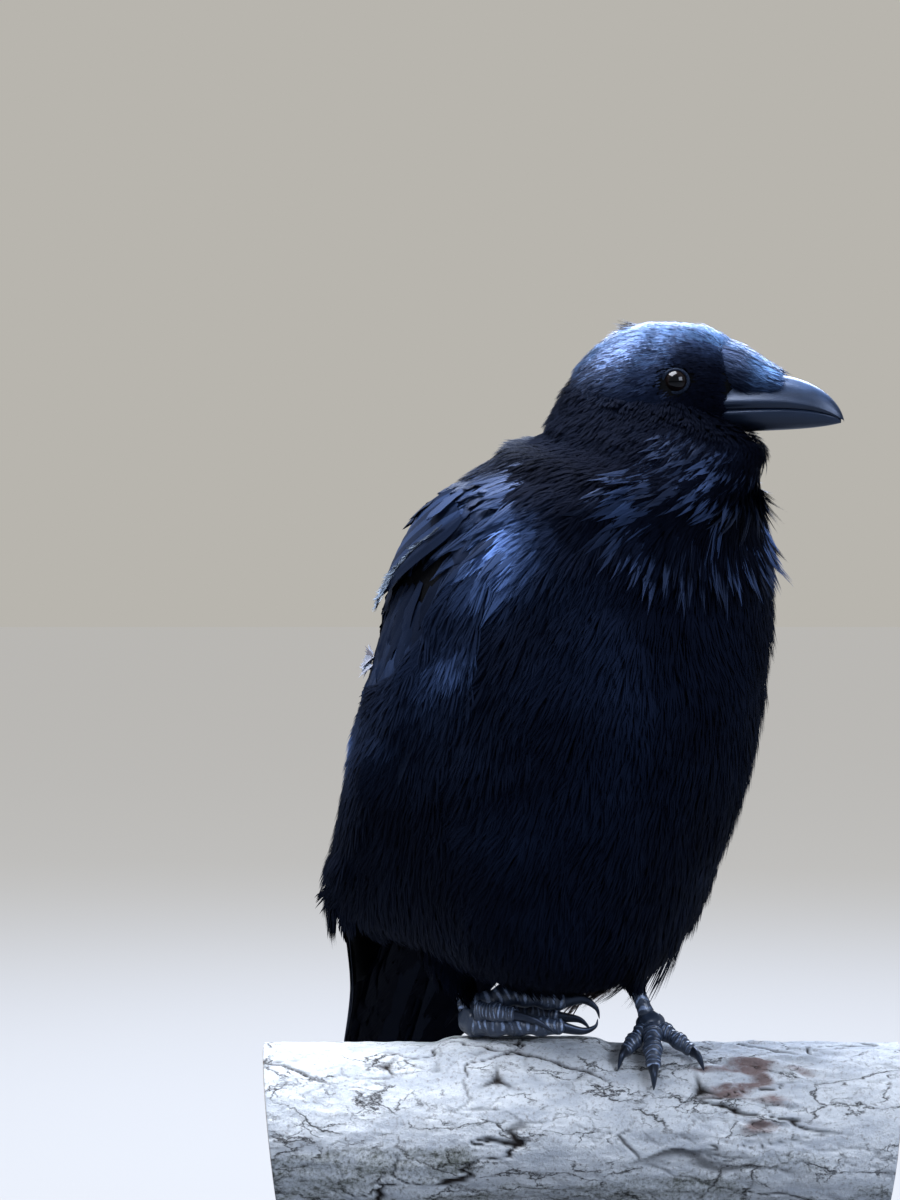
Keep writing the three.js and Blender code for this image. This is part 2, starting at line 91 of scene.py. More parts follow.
# Head from the back to the bill: distance along it, top, bottom, half width, jowl
HEAD = np.array([
    (-41, 502, 478, 9, 0.3),
    (-34, 514, 466, 22, 0.35),
    (-20, 525, 462, 28, 0.35),
    (-4, 531, 461, 29.5, 0.3),
    (11, 532, 463, 26.3, 0.25),
    (26, 530.6, 468, 22.6, 0.15),
    (37, 526.5, 472, 19.5, 0.06),
    (46, 521, 474, 15.6, 0),
], float)

BRISTLES = np.array([
    (39, 525.5, 496, 15, 0),
    (49, 520, 491, 15.5, 0),
    (58, 514.5, 490, 14.5, 0),
    (66, 509, 491, 12.5, 0),
    (72, 502, 494, 8, 0),
], float)

# Folded wing from shoulder to tip: height, ellipse (centre, half axes along and across), the
# angles that it covers, half its thickness
WING = np.array([
    (456, 14, 60, 62, 100, 142, 3),
    (441, 8, 76, 82, 84, 156, 5),
    (405, -2, 90, 97, 80, 166, 6),
    (360, -8, 102, 102, 84, 171, 7),
    (310, -17, 106, 105, 94, 173, 7),
    (262, -38, 100, 99, 104, 174, 7),
    (222, -64, 88, 91, 114, 174, 6),
    (170, -102, 62, 65, 122, 173, 4.5),
    (120, -143, 44, 47, 132, 172, 3),
    (74, -181, 28, 30, 146, 170, 1.5),
], float)

TAIL_ROOT = (-92.0, 272.0)
TAIL_LENGTH = 236.0
TAIL_LEAN = 0.47
TAIL_HALF = 37.0
TAIL_WEDGE = 34.0
TAIL_ARCH = 6.0

BILL_ROOT = 40.0
BILL_TIP = 103.5
BILL_OVERHANG = 3.0
BILL_RIDGE = 505.5
BILL_TIP_HEIGHT = 479.5
BILL_GAPE = 486.0
BILL_KEEL = 474.2
BILL_HALF = 14.5

EYE_ALONG = 19.0
EYE_HEIGHT = 500.8
EYE_RADIUS = 7.0
EYE_OUT = 26.4

LIMB_RADIUS = 48.0
LIMB_LENGTH = 332.0
LIMB_CENTRE = 99.5
LIMB_TOP = LIMB_CENTRE + LIMB_RADIUS
BARK_PATCH = (-32.0, 44.0, 3.5)  # place along the limb, half length, height

# Feet: pad, hip, ankle, and how far down the shank the thigh's feathers reach
FEET = {
    "left": ((37, -7, LIMB_TOP + 8), (2, 2, 262), (16, -2, 215), 0.6),
    "right": ((-61, 0, LIMB_TOP + 14), (-44, 10, 262), (-71, 9, 207), 0.62),
}
# Gripping toes, the hind one first: spread along the limb, angle reached, half thickness, claw
GRIP = ((0.1, -0.62, 4.4, 0.26), (-0.62, 0.5, 4.0, 0.2), (0.0, 0.76, 4.5, 0.2), (0.9, 0.5, 4.0, 0.2))
# Closed toes, clothed in scutes: half thickness, joints and claw as distances along, across and
# above the bark
FIST = (
    (5.7, ((1, -1, 9), (8, -2, 16.5), (18, -3, 21), (31, -4, 21.5), (45, -4, 19.5), (53, -4, 17)),
     ((50, -4, 18), (61, -4, 19.8), (68.5, -5, 15.5), (70.5, -5, 9.5))),
    (5.2, ((2, -7, 7), (14, -10, 6.4), (28, -12, 6.8), (41, -12, 6.3), (52, -11, 6.2)),
     ((49, -10.5, 6), (61, -9, 3.4), (68, -8, 5.6), (69.5, -7, 9.8))),
    (5.2, ((2, 6, 9), (18, 9, 13), (36, 9, 12), (50, 7, 9)), ((47, 7, 9), (60, 6, 7.5), (66, 5, 2.4))),
    (4.8, ((5, -9, 14), (15, -14, 14), (26, -16, 12.8)), ((23, -16, 13), (36, -18, 10), (46, -16.5, 3.4))),
)
SIDES = {"left": 1, "right": -1}

# ---------------------------------------------------------------- numbers and noise


def linear(hex_colour):
    """An sRGB hex colour as linear red, green, blue and alpha."""
    parts = np.array([int(hex_colour[i:i + 2], 16) for i in (1, 3, 5)]) / 255
    parts = np.where(parts <= 0.04045, parts / 12.92, ((parts + 0.055) / 1.055) ** 2.4)
    return (*parts.tolist(), 1.0)


def spline(stations, at):
    """A Catmull-Rom curve through evenly numbered rows of stations, at any array of places."""
    at = np.asarray(at, float)
    last = len(stations) - 1
    i = np.clip(np.floor(at).astype(int), 0, last - 1)
    t = (at - i)[..., None]
    a, b, c, d = (stations[np.clip(i + k, 0, last)] for k in (-1, 0, 1, 2))
    return b + 0.5 * t * (c - a + t * (2 * a - 5 * b + 4 * c - d + t * (3 * b - a - 3 * c + d)))


def ripples(points, size, seed):
    """Smooth noise of about -1 to 1: seeded sine waves of lengths near size, summed."""
    waves = 14
    rng = np.random.default_rng(seed)
    ways = rng.normal(size=(points.shape[-1], waves))
    ways /= np.linalg.norm(ways, axis=0) * rng.uniform(0.7, 1.5, waves)
    phase = rng.uniform(0, TURN, waves)
    return np.sin(points @ ways * (TURN / size) + phase).sum(-1) / math.sqrt(waves)


def bell(x):
    """A bell curve, 1 at 0."""
    return np.exp(-x ** 2)


def ramp(past, width):
    """0 up to nothing past, rising evenly to 1 at a width past."""
    return np.clip(past / width, 0, 1)


def unit(vectors):
    """Vectors over their own length."""
    return vectors / np.maximum(np.linalg.norm(vectors, axis=-1, keepdims=True), 1e-9)


def dot(a, b):
    """Dot products along the last axis, which is kept."""
    return np.sum(a * b, axis=-1, keepdims=True)


# ---------------------------------------------------------------- the bird's outer surfaces


def standing(along, side, height):
    """The bird's own along, left and height as a place on the limb: turned, then moved."""
    cos, sin = math.cos(HEADING), math.sin(HEADING)
    x, y = BIRD_AT[0] + along * cos - side * sin, BIRD_AT[1] + along * sin + side * cos
    return np.stack([x, y, height], -1)


def turned(along, side, height, turn):
    """A point of the neck's or head's upright plane, turned left about the neck's axis."""
    cos, sin = np.cos(turn), np.sin(turn)
    return standing(NECK_AXIS + along * cos - side * sin, along * sin + side * cos, height)


def body_surface(u, v, grow=0.0):
    """Trunk and neck: an egg at each station, from back point to front point by cos v and out
    to the sides by sin v. v is 0 at the breast and rises round the left side."""
    u, v = np.broadcast_arrays(u, v)
    row = spline(BODY, u * (len(BODY) - 1))
    back, front = row[..., 0:2], row[..., 2:4]
    share = 0.5 + (0.5 + grow / np.linalg.norm(front - back, axis=-1)) * np.cos(v)
    middle = back + (front - back) * share[..., None]
    side = (row[..., 4] + grow) * np.sin(v)
    return turned(middle[..., 0], side, middle[..., 1], row[..., 5] * HEAD_TURN)


def head_surface(u, v, grow=0.0, stations=HEAD):
    """Head, or the bristle pad: an ellipse across the head's axis at each station, with v from
    the top, widened low down by the jowl."""
    u, v = np.broadcast_arrays(u, v)
    row = spline(stations, u * (len(stations) - 1))
    top, bottom = row[..., 1] + grow, row[..., 2] - grow
    height = (top + bottom) / 2 + (top - bottom) / 2 * np.cos(v)
    jowl = 1 + row[..., 4] * ((1 - np.cos(v)) / 2) ** 2
    return turned(row[..., 0], (row[..., 3] + grow) * jowl * np.sin(v), height, HEAD_TURN)


def bristle_surface(u, v, grow=0.0):
    """The pad of bristles over the bill's root."""
    return head_surface(u, v, grow, BRISTLES)


def wing_surface(side, out=0.0):
    """The outside of a folded wing: at each height an arc of an ellipse about the bird, with w
    from its breast edge to its back edge, and a lens's thickness added outwards."""
    def surface(u, w, grow=0.0):
        u, w = np.broadcast_arrays(u, w)
        row = spline(WING, u * (len(WING) - 1))
        angle = np.radians(row[..., 4] + (row[..., 5] - row[..., 4]) * w)
        lens = 2 * np.sqrt(np.clip(w * (1 - w), 0, 1))
        thick = row[..., 6] * lens + out + grow
        along = row[..., 1] + (row[..., 2] + thick) * np.cos(angle)
        return standing(along, side * (row[..., 3] + thick) * np.sin(angle), row[..., 0])
    return surface


def tail_surface(face, out=0.0):
    """The closed tail: a slab that widens from its root and arches across, with c from -1 to 1
    across it. face is 1 for its upper side, -1 for its under side."""
    def surface(u, c, grow=0.0):
        u, c = np.broadcast_arrays(u, c)
        opened = np.sin(math.pi / 2 * np.minimum(1, u * 1.4))
        half = TAIL_HALF * (0.62 + 0.38 * opened)
        reach = u * (TAIL_LENGTH - TAIL_WEDGE * c * c)
        lift = face * (2.6 * (1 - 0.62 * u) + out + grow) - TAIL_ARCH * c * c
        along = TAIL_ROOT[0] - reach * math.sin(TAIL_LEAN) - lift * math.cos(TAIL_LEAN)
        height = TAIL_ROOT[1] - reach * math.cos(TAIL_LEAN) + lift * math.sin(TAIL_LEAN)
        return standing(along, half * c, height)
    return surface


def smooth_path(points, count):
    """A Catmull-Rom path through a few points, resampled to even steps of length."""
    points = np.array(points, float)
    fine = spline(points, np.linspace(0, len(points) - 1, 40 * len(points)))
    length = np.concatenate([[0], np.cumsum(np.linalg.norm(np.diff(fine, axis=0), axis=1))])
    at = np.linspace(0, length[-1], count)
    return np.stack([np.interp(at, length, fine[:, k]) for k in range(3)], -1)


def circle(count):
    """A row of angles in even steps once round."""
    return np.linspace(0, TURN, count, endpoint=False)[None, :]


def path_frames(path, up):
    """Left and up at each point of a path, level with a given up direction."""
    forward = unit(np.gradient(path, axis=0))
    left = unit(np.cross(np.array(up, float), forward))
    return left, np.cross(forward, left)


def thigh_surface(side):
    """The feathered lower thigh: rings whose radius falls along a path from hip to shank."""
    pad, hip, ankle, sleeve = (np.array(part, float) for part in FEET[side])
    path = smooth_path([hip, ankle, ankle + (pad - ankle) * sleeve], 60)
    left, up = path_frames(path, (1, 0, 0))

    def surface(u, v, grow=0.0):
        u, v = np.broadcast_arrays(u, v)
        at = np.clip(u, 0, 1) * (len(path) - 1)
        radius = 24 * (1 - np.clip(u, 0, 1) ** 1.6) + 7 + grow
        ring = spline(left, at) * np.cos(v)[..., None] + spline(up, at) * np.sin(v)[..., None]
        return spline(path, at) + ring * radius[..., None]
    return surface


# ---------------------------------------------------------------- meshes


def grid_faces(rows, columns, closed=False):
    """Quads of a grid of points, row by row; closed joins each row's last point to its first."""
    r, c = np.meshgrid(np.arange(rows - 1), np.arange(columns if closed else columns - 1), indexing="ij")
    after = (c + 1) % columns
    quads = [r * columns + c, r * columns + after, (r + 1) * columns + after, (r + 1) * columns + c]
    return np.stack(quads, -1).reshape(-1, 4)


def closed_shell(points):
    """A tube of rings (rows, columns, 3), capped at each end by a fan to the ring's middle."""
    rows, columns = points.shape[:2]
    flat = np.concatenate([points.reshape(-1, 3), points[:1].mean(1), points[-1:].mean(1)])
    ring = np.arange(columns)
    after = (ring + 1) % columns
    first = np.stack([np.full(columns, rows * columns), after, ring], -1)
    last = (rows - 1) * columns
    final = np.stack([np.full(columns, rows * columns + 1), last + ring, last + after], -1)
    return flat, grid_faces(rows, columns, closed=True), np.concatenate([first, final])


def joined(shells):
    """Several shells as one set of points, quads and triangles."""
    points, quads, triangles, start = [], [], [], 0
    for shell_points, shell_quads, shell_triangles in shells:
        points.append(shell_points)
        quads.append(shell_quads + start)
        triangles.append(shell_triangles + start)
        start += len(shell_points)
    return np.concatenate(points), np.concatenate(quads), np.concatenate(triangles)


def signed_volume(points, quads, triangles):
    """Six times the volume inside, negative where the faces point in."""
    fans = np.concatenate([quads[:, [0, 1, 2]], quads[:, [0, 2, 3]], triangles])
    a, b, c = (points[fans[:, k]] for k in range(3))
    return np.sum(a * np.cross(b, c))


def outward(shell):
    """The shell with its faces turned to point out."""
    points, quads, triangles = shell
    middle = points - points.mean(0)
    if signed_volume(middle, quads, triangles) < 0:
        return points, quads[:, ::-1], triangles[:, ::-1]
    return shell


def make_mesh(name, points, *face_sets):
    """A smooth-shaded mesh in metres from points in millimetres and arrays of faces."""
    face_sets = [faces for faces in face_sets if len(faces)]
    sizes = np.concatenate([np.full(len(faces), faces.shape[1]) for faces in face_sets])
    corners = np.concatenate([faces.ravel() for faces in face_sets]).astype(np.int32)
    mesh = bpy.data.meshes.new(name)
    mesh.vertices.add(len(points))
    mesh.vertices.foreach_set("co", (points * MM).astype(np.float32).ravel())
    mesh.loops.add(len(corners))
    mesh.loops.foreach_set("vertex_index", corners)
    mesh.polygons.add(len(sizes))
    mesh.polygons.foreach_set("loop_start", (np.cumsum(sizes) - sizes).astype(np.int32))
    mesh.update(calc_edges=True)
    mesh.validate()
    mesh.polygons.foreach_set("use_smooth", np.ones(len(mesh.polygons), bool))
    return mesh


def add_uv(mesh, name, places):
    """A UV map from one place for each point."""
    corner = np.empty(len(mesh.loops), np.int32)
    mesh.loops.foreach_get("vertex_index", corner)
    mesh.uv_layers.new(name=name).data.foreach_set("uv", places[corner].astype(np.float32).ravel())


def add_value(mesh, name, values):
    """A number for each point, which the material reads by name."""
    mesh.attributes.new(name, "FLOAT", "POINT").data.foreach_set("value", values.astype(np.float32))


def place(mesh, material, slot, *nodes):
    """Links a finished mesh at the origin, on the one body, in place of its CAD nodes."""
    mesh.materials.append(material)
    piece = bpy.data.objects.new(mesh.name, mesh)
    bpy.context.scene.collection.objects.link(piece)
    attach(piece, "root")
    if nodes:
        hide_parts(*nodes)


# ---------------------------------------------------------------- feathers

BAKE_PATCH = 0.003  # side of one feather's patch on the bake map
STRAND = np.array([0.0, 0.38, 0.74, 1.0])  # places of a strand's three widths and its tip
SINK = 3.2  # how far inside their outline the wing's feathers are rooted


def staggered_rows(surface, span, pitch, rng, around=(0, TURN), jitter=0.22):
    """Roots in rows that are pitch apart along a surface and across it, every other row
    shifted by half. pitch is a table of places and spacings. Returns u, v and the pitch."""
    closed = around == (0, TURN)
    u_fine = np.linspace(*span, 160)
    v_fine = np.linspace(*around, 181)
    points = surface(u_fine[:, None], v_fine[None, :])
    step = np.linalg.norm(np.diff(points, axis=0), axis=-1).mean(1)
    spacing = np.interp(u_fine, *pitch)
    count = np.concatenate([[0], np.cumsum(step / (spacing[1:] + spacing[:-1]) * 2)])
    roots = []
    for k, u in enumerate(np.interp(np.arange(0.5, count[-1]), count, u_fine)):
        ring = surface(np.full_like(v_fine, u), v_fine)
        length = np.concatenate([[0], np.cumsum(np.linalg.norm(np.diff(ring, axis=0), axis=1))])
        size = np.interp(u, *pitch)
        number = max(1, round(length[-1] / size))
        at = (np.arange(number) + 0.5 * (k % 2) + 0.25) / number * length[-1]
        at = at % length[-1] if closed else at[at < length[-1]]
        at = at + rng.normal(0, jitter * size, len(at))
        rise = rng.normal(0, jitter, len(at)) / max(count[-1], 1) * (span[1] - span[0])
        roots.append(np.stack([u + rise, np.interp(at, length, v_fine), np.full(len(at), size)]))
    return np.concatenate(roots, 1)


def frames_at(surface, u, v, way, lean, pull=None):
    """Where feathers grow: point, direction, side and outward direction of each root, and how
    much the surface bends along and across it. way is the direction along u, lean turns it
    in the surface, and pull is added to it."""
    small = 1e-3

    def tangents(a, b):
        along = (surface(a + small, b) - surface(a - small, b)) / (2 * small)
        across = (surface(a, b + small) - surface(a, b - small)) / (2 * small)
        return along, across, unit(np.cross(along, across))

    point = surface(u, v)
    along, across, out = tangents(u, v)
    sign = np.sign(dot(surface(u, v, 1.0) - point, out))
    out = out * sign
    ahead = unit(along) * way
    if pull is not None:
        ahead = ahead + pull
    ahead = unit(ahead - out * dot(ahead, out))
    lean = np.broadcast_to(np.asarray(lean, float), u.shape)[:, None]
    ahead = ahead * np.cos(lean) + np.cross(out, ahead) * np.sin(lean)
    side = np.cross(out, ahead)

    def bend(direction):
        e, f, g = dot(along, along), dot(along, across), dot(across, across)
        r1, r2 = dot(direction, along), dot(direction, across)
        scale = np.maximum(e * g - f * f, 1e-9)
        step_u, step_v = (g * r1 - f * r2) / scale, (e * r2 - f * r1) / scale
        moved = tangents(u + 2 * step_u[:, 0], v + 2 * step_v[:, 0])[2] * sign
        return np.clip(dot(moved - out, direction) / 2, -0.02, 0.06)

    return {"point": point, "ahead": ahead, "side": side, "out": out,
            "bend": bend(ahead), "cross": bend(side), "u": u, "v": v}


def strand_points(left, right):
    """Seven points of each tapering strand from its two edges: three pairs and the tip."""
    pairs = np.stack([left, right], 2)[:, :3].reshape(len(left), 6, 2)
    return np.concatenate([pairs, left[:, 3:]], 1)


def strand_faces(strands):
    """Five triangles for each strand of seven points: two quads and the tip."""
    one = np.array([(1, 3, 2), (1, 2, 0), (3, 5, 4), (3, 4, 2), (5, 6, 4)])
    return (one[None] + 7 * np.arange(strands)[:, None, None]).reshape(-1, 3)


def loose_feather(rng, pairs, half, strand):
    """A soft contour feather as tapering strands of barbs that leave its shaft in pairs, fan
    out and end on a rounded outline. Returns place along, across and height, and faces."""
    order = np.arange(2 * pairs + 1)
    side = np.where(order % 2, 1.0, -1.0) * rng.uniform(0.25, 1.0, len(order))
    root = 0.05 + 0.42 * (order // 2) / pairs * rng.uniform(0.5, 1.1, len(order))
    tip = 1.02 - 0.26 * np.abs(side) ** 1.6 - 0.12 * rng.random(len(order))
    reach = side * half
    along = root[:, None] + (tip - root)[:, None] * STRAND
    across = reach[:, None] * (0.22 + 0.78 * np.sin(math.pi / 2 * STRAND))
    heading = unit(np.stack([np.gradient(along, axis=1), np.gradient(across, axis=1)], -1))
    width = strand * np.array([0.75, 1.0, 0.72, 0.0]) * rng.uniform(0.8, 1.25, (len(order), 1))
    left = np.stack([along - heading[..., 1] * width, across + heading[..., 0] * width], -1)
    right = np.stack([along + heading[..., 1] * width, across - heading[..., 0] * width], -1)
    flat = strand_points(left, right)
    layer = 0.003 * np.repeat(order[:, None], 7, 1) + 0.01 * rng.normal(size=(len(order), 1))
    height = layer - 0.5 * flat[..., 1] ** 2
    return flat[..., 0].ravel(), flat[..., 1].ravel(), height.ravel(), strand_faces(len(order))


def lance_feather(rng, strands=9, half=0.085, width=0.013):
    """A long pointed hackle: strands side by side along its shaft that close to one tip."""
    order = np.linspace(-1, 1, strands)
    q = np.array([0.0, 0.45, 0.8, 1.0])
    tips = 1.0 - 0.35 * np.abs(order) ** 1.5 * rng.uniform(0.7, 1.2, strands)
    along = tips[:, None] * q
    open_width = np.array([0.35, 1.0, 0.62, 0.12]) * (1 + 0.1 * rng.normal(size=(strands, 1)))
    across = half * order[:, None] * open_width
    thick = width * np.array([0.8, 1.15, 0.9, 0.0])
    flat = strand_points(np.stack([along, across + thick], -1), np.stack([along, across - thick], -1))
    height = 0.01 * rng.normal(size=(strands, 1)) - 2.2 * flat[..., 1] ** 2
    return flat[..., 0].ravel(), flat[..., 1].ravel(), height.ravel(), strand_faces(strands)


def vane_feather(rng, half, rows, point=0.5):
    """A closed feather: a leaf outline about a raised shaft, whose web falls away to both sides
    and is nicked at its edge. point is 0.5 for a round tip and more for a sharper one."""
    columns = 7
    a = np.linspace(0, 1, rows) ** 0.85
    c = np.linspace(-1, 1, columns)
    rising = 0.45 + 0.55 * np.sin(math.pi / 2 * np.minimum(a / 0.5, 1))
    closing = np.clip(1 - (np.maximum(a - 0.5, 0) / 0.5) ** 2, 0, 1) ** point
    outline = half * rising * closing * rng.uniform(0.93, 1.05, rows)
    along = np.repeat(a[:, None], columns, 1) - 0.05 * np.abs(c) * (1 - closing)[:, None]
    across = outline[:, None] * c
    height = -0.10 * np.abs(c) ** 1.4 * half + 0.01 * rng.normal(size=(rows, columns)) * np.abs(c)
    return along.ravel(), across.ravel(), height.ravel(), grid_faces(rows, columns)[:, ::-1]


def alike(points, lie, faces, bake, vane, tone, gloss_and_sheen):
    """Feathers of one shape as flat arrays, from points, lie and bake (feathers, points, axes),
    one feather's faces and vane map, and a tone and a gloss for each feather."""
    number, size = points.shape[:2]
    return {
        "points": points.reshape(-1, 3),
        "lie": lie.reshape(-1, 3),
        "faces": (faces[None] + size * np.arange(number)[:, None, None]).reshape(-1, faces.shape[1]),
        "bake": bake.reshape(-1, 2),
        "vane": np.broadcast_to(vane, (number, *vane.shape)).reshape(-1, 2),
        "tone": np.repeat(tone, size),
        "gloss_and_sheen": np.repeat(gloss_and_sheen, size),
    }


def grow(roots, shapes, length, rng, width=1.0, sink=1.0, rise=1.0, curl=0.0, roll=0.05, hang=0.0,
         gloss_and_sheen=1.0):
    """Sets feather shapes on roots. A point of a shape goes along, across and out from its root;
    it starts sink deep, ends rise high, follows the surface's bend both ways, and hangs down by
    hang. On the bake map it is a small patch at its root's place on the surface's unwrap."""
    number = len(roots["u"])
    length = np.broadcast_to(np.asarray(length, float), number)
    sink, rise, width, curl, hang, gloss_and_sheen = (np.broadcast_to(np.asarray(k, float), number)
                                            for k in (sink, rise, width, curl, hang, gloss_and_sheen))
    tilt = rng.normal(0, roll, number)
    tone = np.clip(rng.normal(0.5, 0.2, number) + 0.16 * ripples(roots["point"], 60, 5), 0, 1)
    kind = rng.integers(0, len(shapes), number)
    parts = []
    for k, (a, c, h, faces) in enumerate(shapes):
        mine = kind == k
        at, ahead, side, out = (roots[key][mine][:, None] for key in ("point", "ahead", "side", "out"))
        bend, cross = roots["bend"][mine], roots["cross"][mine]
        size, wide, deep, high, bowed, tilted, low = (
            each[mine][:, None] for each in (length, width, sink, rise, curl, tilt, hang))
        x, y = size * a, size * wide * c
        lift = -deep * (1 - a) ** 2 + high * a + size * h
        lift = lift + size * bowed * a * a + y * tilted
        z = lift - bend * x * x / 2 - cross * y * y / 2
        points = at + ahead * x[..., None] + side * y[..., None] + out * z[..., None]
        points[..., 2] -= low * size * a * a
        lie = out + ahead * (bend * x)[..., None] + side * (cross * y)[..., None]
        corner = np.stack([roots["v"][mine], roots["u"][mine]], -1) * 0.96 + 0.02
        corner = np.clip(corner, 0.002, 0.994)
        vane = np.stack([c / np.abs(c).max(), a], -1)
        patch = np.stack([(vane[:, 0] + 1) / 2, a], -1) * BAKE_PATCH
        parts.append(alike(points, lie, faces, corner[:, None] + patch[None], vane, tone[mine], gloss_and_sheen[mine]))
    return merged(parts)


def merged(parts):
    """Several sets of feathers as one."""
    total = {key: np.concatenate([part[key] for part in parts]) for key in parts[0] if key != "faces"}
    starts = np.cumsum([0] + [len(part["points"]) for part in parts[:-1]])
    total["faces"] = np.concatenate([part["faces"] + start for part, start in zip(parts, starts)])
    return total


def place_feathers(name, feathers, material, *nodes, slot="plumage", soft=0.6):
    """One coat piece. Its normals are drawn towards the way its surface lies by the share soft,
    as light sinks into fluffed barbs and shows the form below more than the single barb."""
    mesh = make_mesh(name, feathers["points"], feathers["faces"])
    normals = np.empty(len(mesh.vertices) * 3, np.float32)
    mesh.vertices.foreach_get("normal", normals)
    blend = unit(feathers["lie"]) * soft + normals.reshape(-1, 3) * (1 - soft)
    mesh.normals_split_custom_set_from_vertices(unit(blend).astype(np.float32))
    add_uv(mesh, "OFBake", feathers["bake"])
    add_uv(mesh, "Vane", feathers["vane"])
    add_value(mesh, "tone", feathers["tone"])
    add_value(mesh, "gloss_and_sheen", feathers["gloss_and_sheen"])
    place(mesh, material, slot, *nodes)


def picked(roots, mask):
    """The roots that a mask keeps."""
    return {key: value[mask] for key, value in roots.items()}


def unwrapped(roots, around=TURN):
    """The same roots with v as a share of the way round, for the bake map."""
    return {**roots, "v": (roots["v"] / around) % 1.0}


def quills(centre, out_way, half, shape, tones, gloss_and_sheen, camber):
    """Long feathers laid on a surface: each is a strip about a middle line (feathers, stations,
    3), as wide as half times its shape, falling away to both sides of a raised shaft."""
    number, rows = centre.shape[:2]
    columns = 9
    c = np.linspace(-1, 1, columns)
    forward = unit(np.gradient(centre, axis=1))
    side = unit(np.cross(out_way, forward))
    width = half[:, None] * shape
    fall = -camber * np.abs(c) ** 1.3 * width[..., None] + 0.35 * np.maximum(0, 1 - np.abs(c) * 6)
    points = (centre[:, :, None] + side[:, :, None] * (width[..., None] * c)[..., None]
              + out_way[:, :, None] * fall[..., None])
    faces = grid_faces(rows, columns)[:, ::-1]
    across, along = np.broadcast_arrays(c[None, :], np.linspace(0, 1, rows)[:, None])
    vane = np.stack([across, along], -1).reshape(-1, 2)
    patch = np.stack([(across + 1) / 2, along], -1).reshape(-1, 2) * BAKE_PATCH
    corner = np.stack([(np.arange(number) + 0.5) / number * 0.98, np.full(number, 0.02)], -1)
    lie = np.broadcast_to(out_way[:, :, None], points.shape).reshape(number, -1, 3)
    bake = patch[None] + corner[:, None]
    return alike(points.reshape(number, -1, 3), lie, faces, bake, vane, tones, gloss_and_sheen)


# ---------------------------------------------------------------- materials

KERATIN_IOR = 1.56
SKY_TINT = "#b0c8f6"


def add_node(tree, kind, inputs=None, **settings):
    """Adds a node with its settings, and its inputs as values, or as the sockets or nodes that
    feed them, where a node stands for its first output in use."""
    node = tree.nodes.new("ShaderNode" + kind)
    for key, value in settings.items():
        setattr(node, key, value)
    for key, value in (inputs or {}).items():
        if isinstance(value, bpy.types.Node):
            value = next(socket for socket in value.outputs if socket.enabled)
        if isinstance(value, bpy.types.NodeSocket):
            tree.links.new(value, node.inputs[key])
        else:
            node.inputs[key].default_value = value
    return node


def new_material(name):
    """A named material with an empty node tree, and the call that adds a node to it."""
    material = bpy.data.materials.new(name)
    material.use_nodes = True
    material.node_tree.nodes.clear()
    return material, partial(add_node, material.node_tree)


def finish_material(add, **inputs):
    """The shader that a material ends in. Names of inputs have underscores for spaces."""
    shader = add("BsdfPrincipled", {k.replace("_", " "): v for k, v in inputs.items()})
    add("OutputMaterial", {"Surface": shader})


def feather_material(name, dark, light, tint, roughness, specular, barbs, variety=0.4):
    """Keratin vanes, grown with black pigment under a thin clear layer. Each piece's value of sheen
    and gloss, times each feather's tone, sets the roughness and the base colour: black and dull
    where it is 0, blue-black with a sharper violet-blue shine where it is 1, and lighter still
    where it is higher. This lighter base colour is painted sheen, a painted reflection of the
    sky, which the pieces set highest where the vanes face up. Barbs run forward from the
    shaft, drawn 1 to 2 mm apart so that they show, and each feather has a tone of its own, which
    variety spreads."""
    material, add = new_material(name)
    tone = add("Attribute", attribute_name="tone").outputs["Fac"]
    gloss_and_sheen = add("Attribute", attribute_name="gloss_and_sheen").outputs["Fac"]
    vane = add("UVMap", uv_map="Vane")
    parts = add("SeparateXYZ", {0: vane})
    aside = add("Math", {0: parts}, operation="ABSOLUTE")
    reach = add("Math", {0: aside, 1: -0.35}, operation="MULTIPLY")
    along = add("Math", {0: parts.outputs[1], 1: reach}, operation="ADD")
    turns = add("Math", {0: along, 1: barbs}, operation="MULTIPLY")
    comb = add("Math", {0: turns}, operation="SINE")
    place_of = add("TexCoord").outputs["Object"]
    patches = add("TexNoise", {"Vector": place_of, "Scale": 28.0, "Detail": 2.0, "Roughness": 0.5})
    uneven = add("MapRange",
                 {"Value": patches, "From Min": 0.3, "From Max": 0.7, "To Min": 0.65, "To Max": 1.15})
    own = add("MapRange", {"Value": tone, "To Min": 1 - variety, "To Max": 1 + variety})
    shade = add("Math", {0: uneven, 1: own}, operation="MULTIPLY")
    tone_and_sheen = add("Math", {0: shade, 1: gloss_and_sheen}, operation="MULTIPLY")
    # Painted sheen: the base colour brightens from the dark colour to the light one, and past it, as the
    # piece's sheen value rises with the feather's tone.
    base = add("Mix", {0: tone_and_sheen, 6: dark, 7: light}, data_type="RGBA", clamp_factor=False)
    rough = add("MapRange", {"Value": tone_and_sheen, "To Min": roughness + 0.22, "To Max": roughness - 0.04})
    bump = add("Bump", {"Height": comb, "Strength": 0.14, "Distance": 0.0002})
    finish_material(add, Base_Color=base, Roughness=rough, IOR=KERATIN_IOR,
                    Specular_IOR_Level=specular, Specular_Tint=tint, Normal=bump)
    return material


def skin_material():
    """Thin dark skin under down, close to black, matt, and pebbled about every 1.5 mm."""
    material, add = new_material("Downy black skin")
    place_of = add("TexCoord").outputs["Object"]
    down = add("TexNoise", {"Vector": place_of, "Scale": 650.0, "Detail": 3.0, "Roughness": 0.6})
    base = add("Mix", {0: down, 6: linear("#010102"), 7: linear("#040508")}, data_type="RGBA")
    bump = add("Bump", {"Height": down, "Strength": 0.6, "Distance": 0.0006})
    finish_material(add, Base_Color=base, Roughness=0.7, IOR=1.4, Specular_IOR_Level=0.1, Normal=bump)
    return material


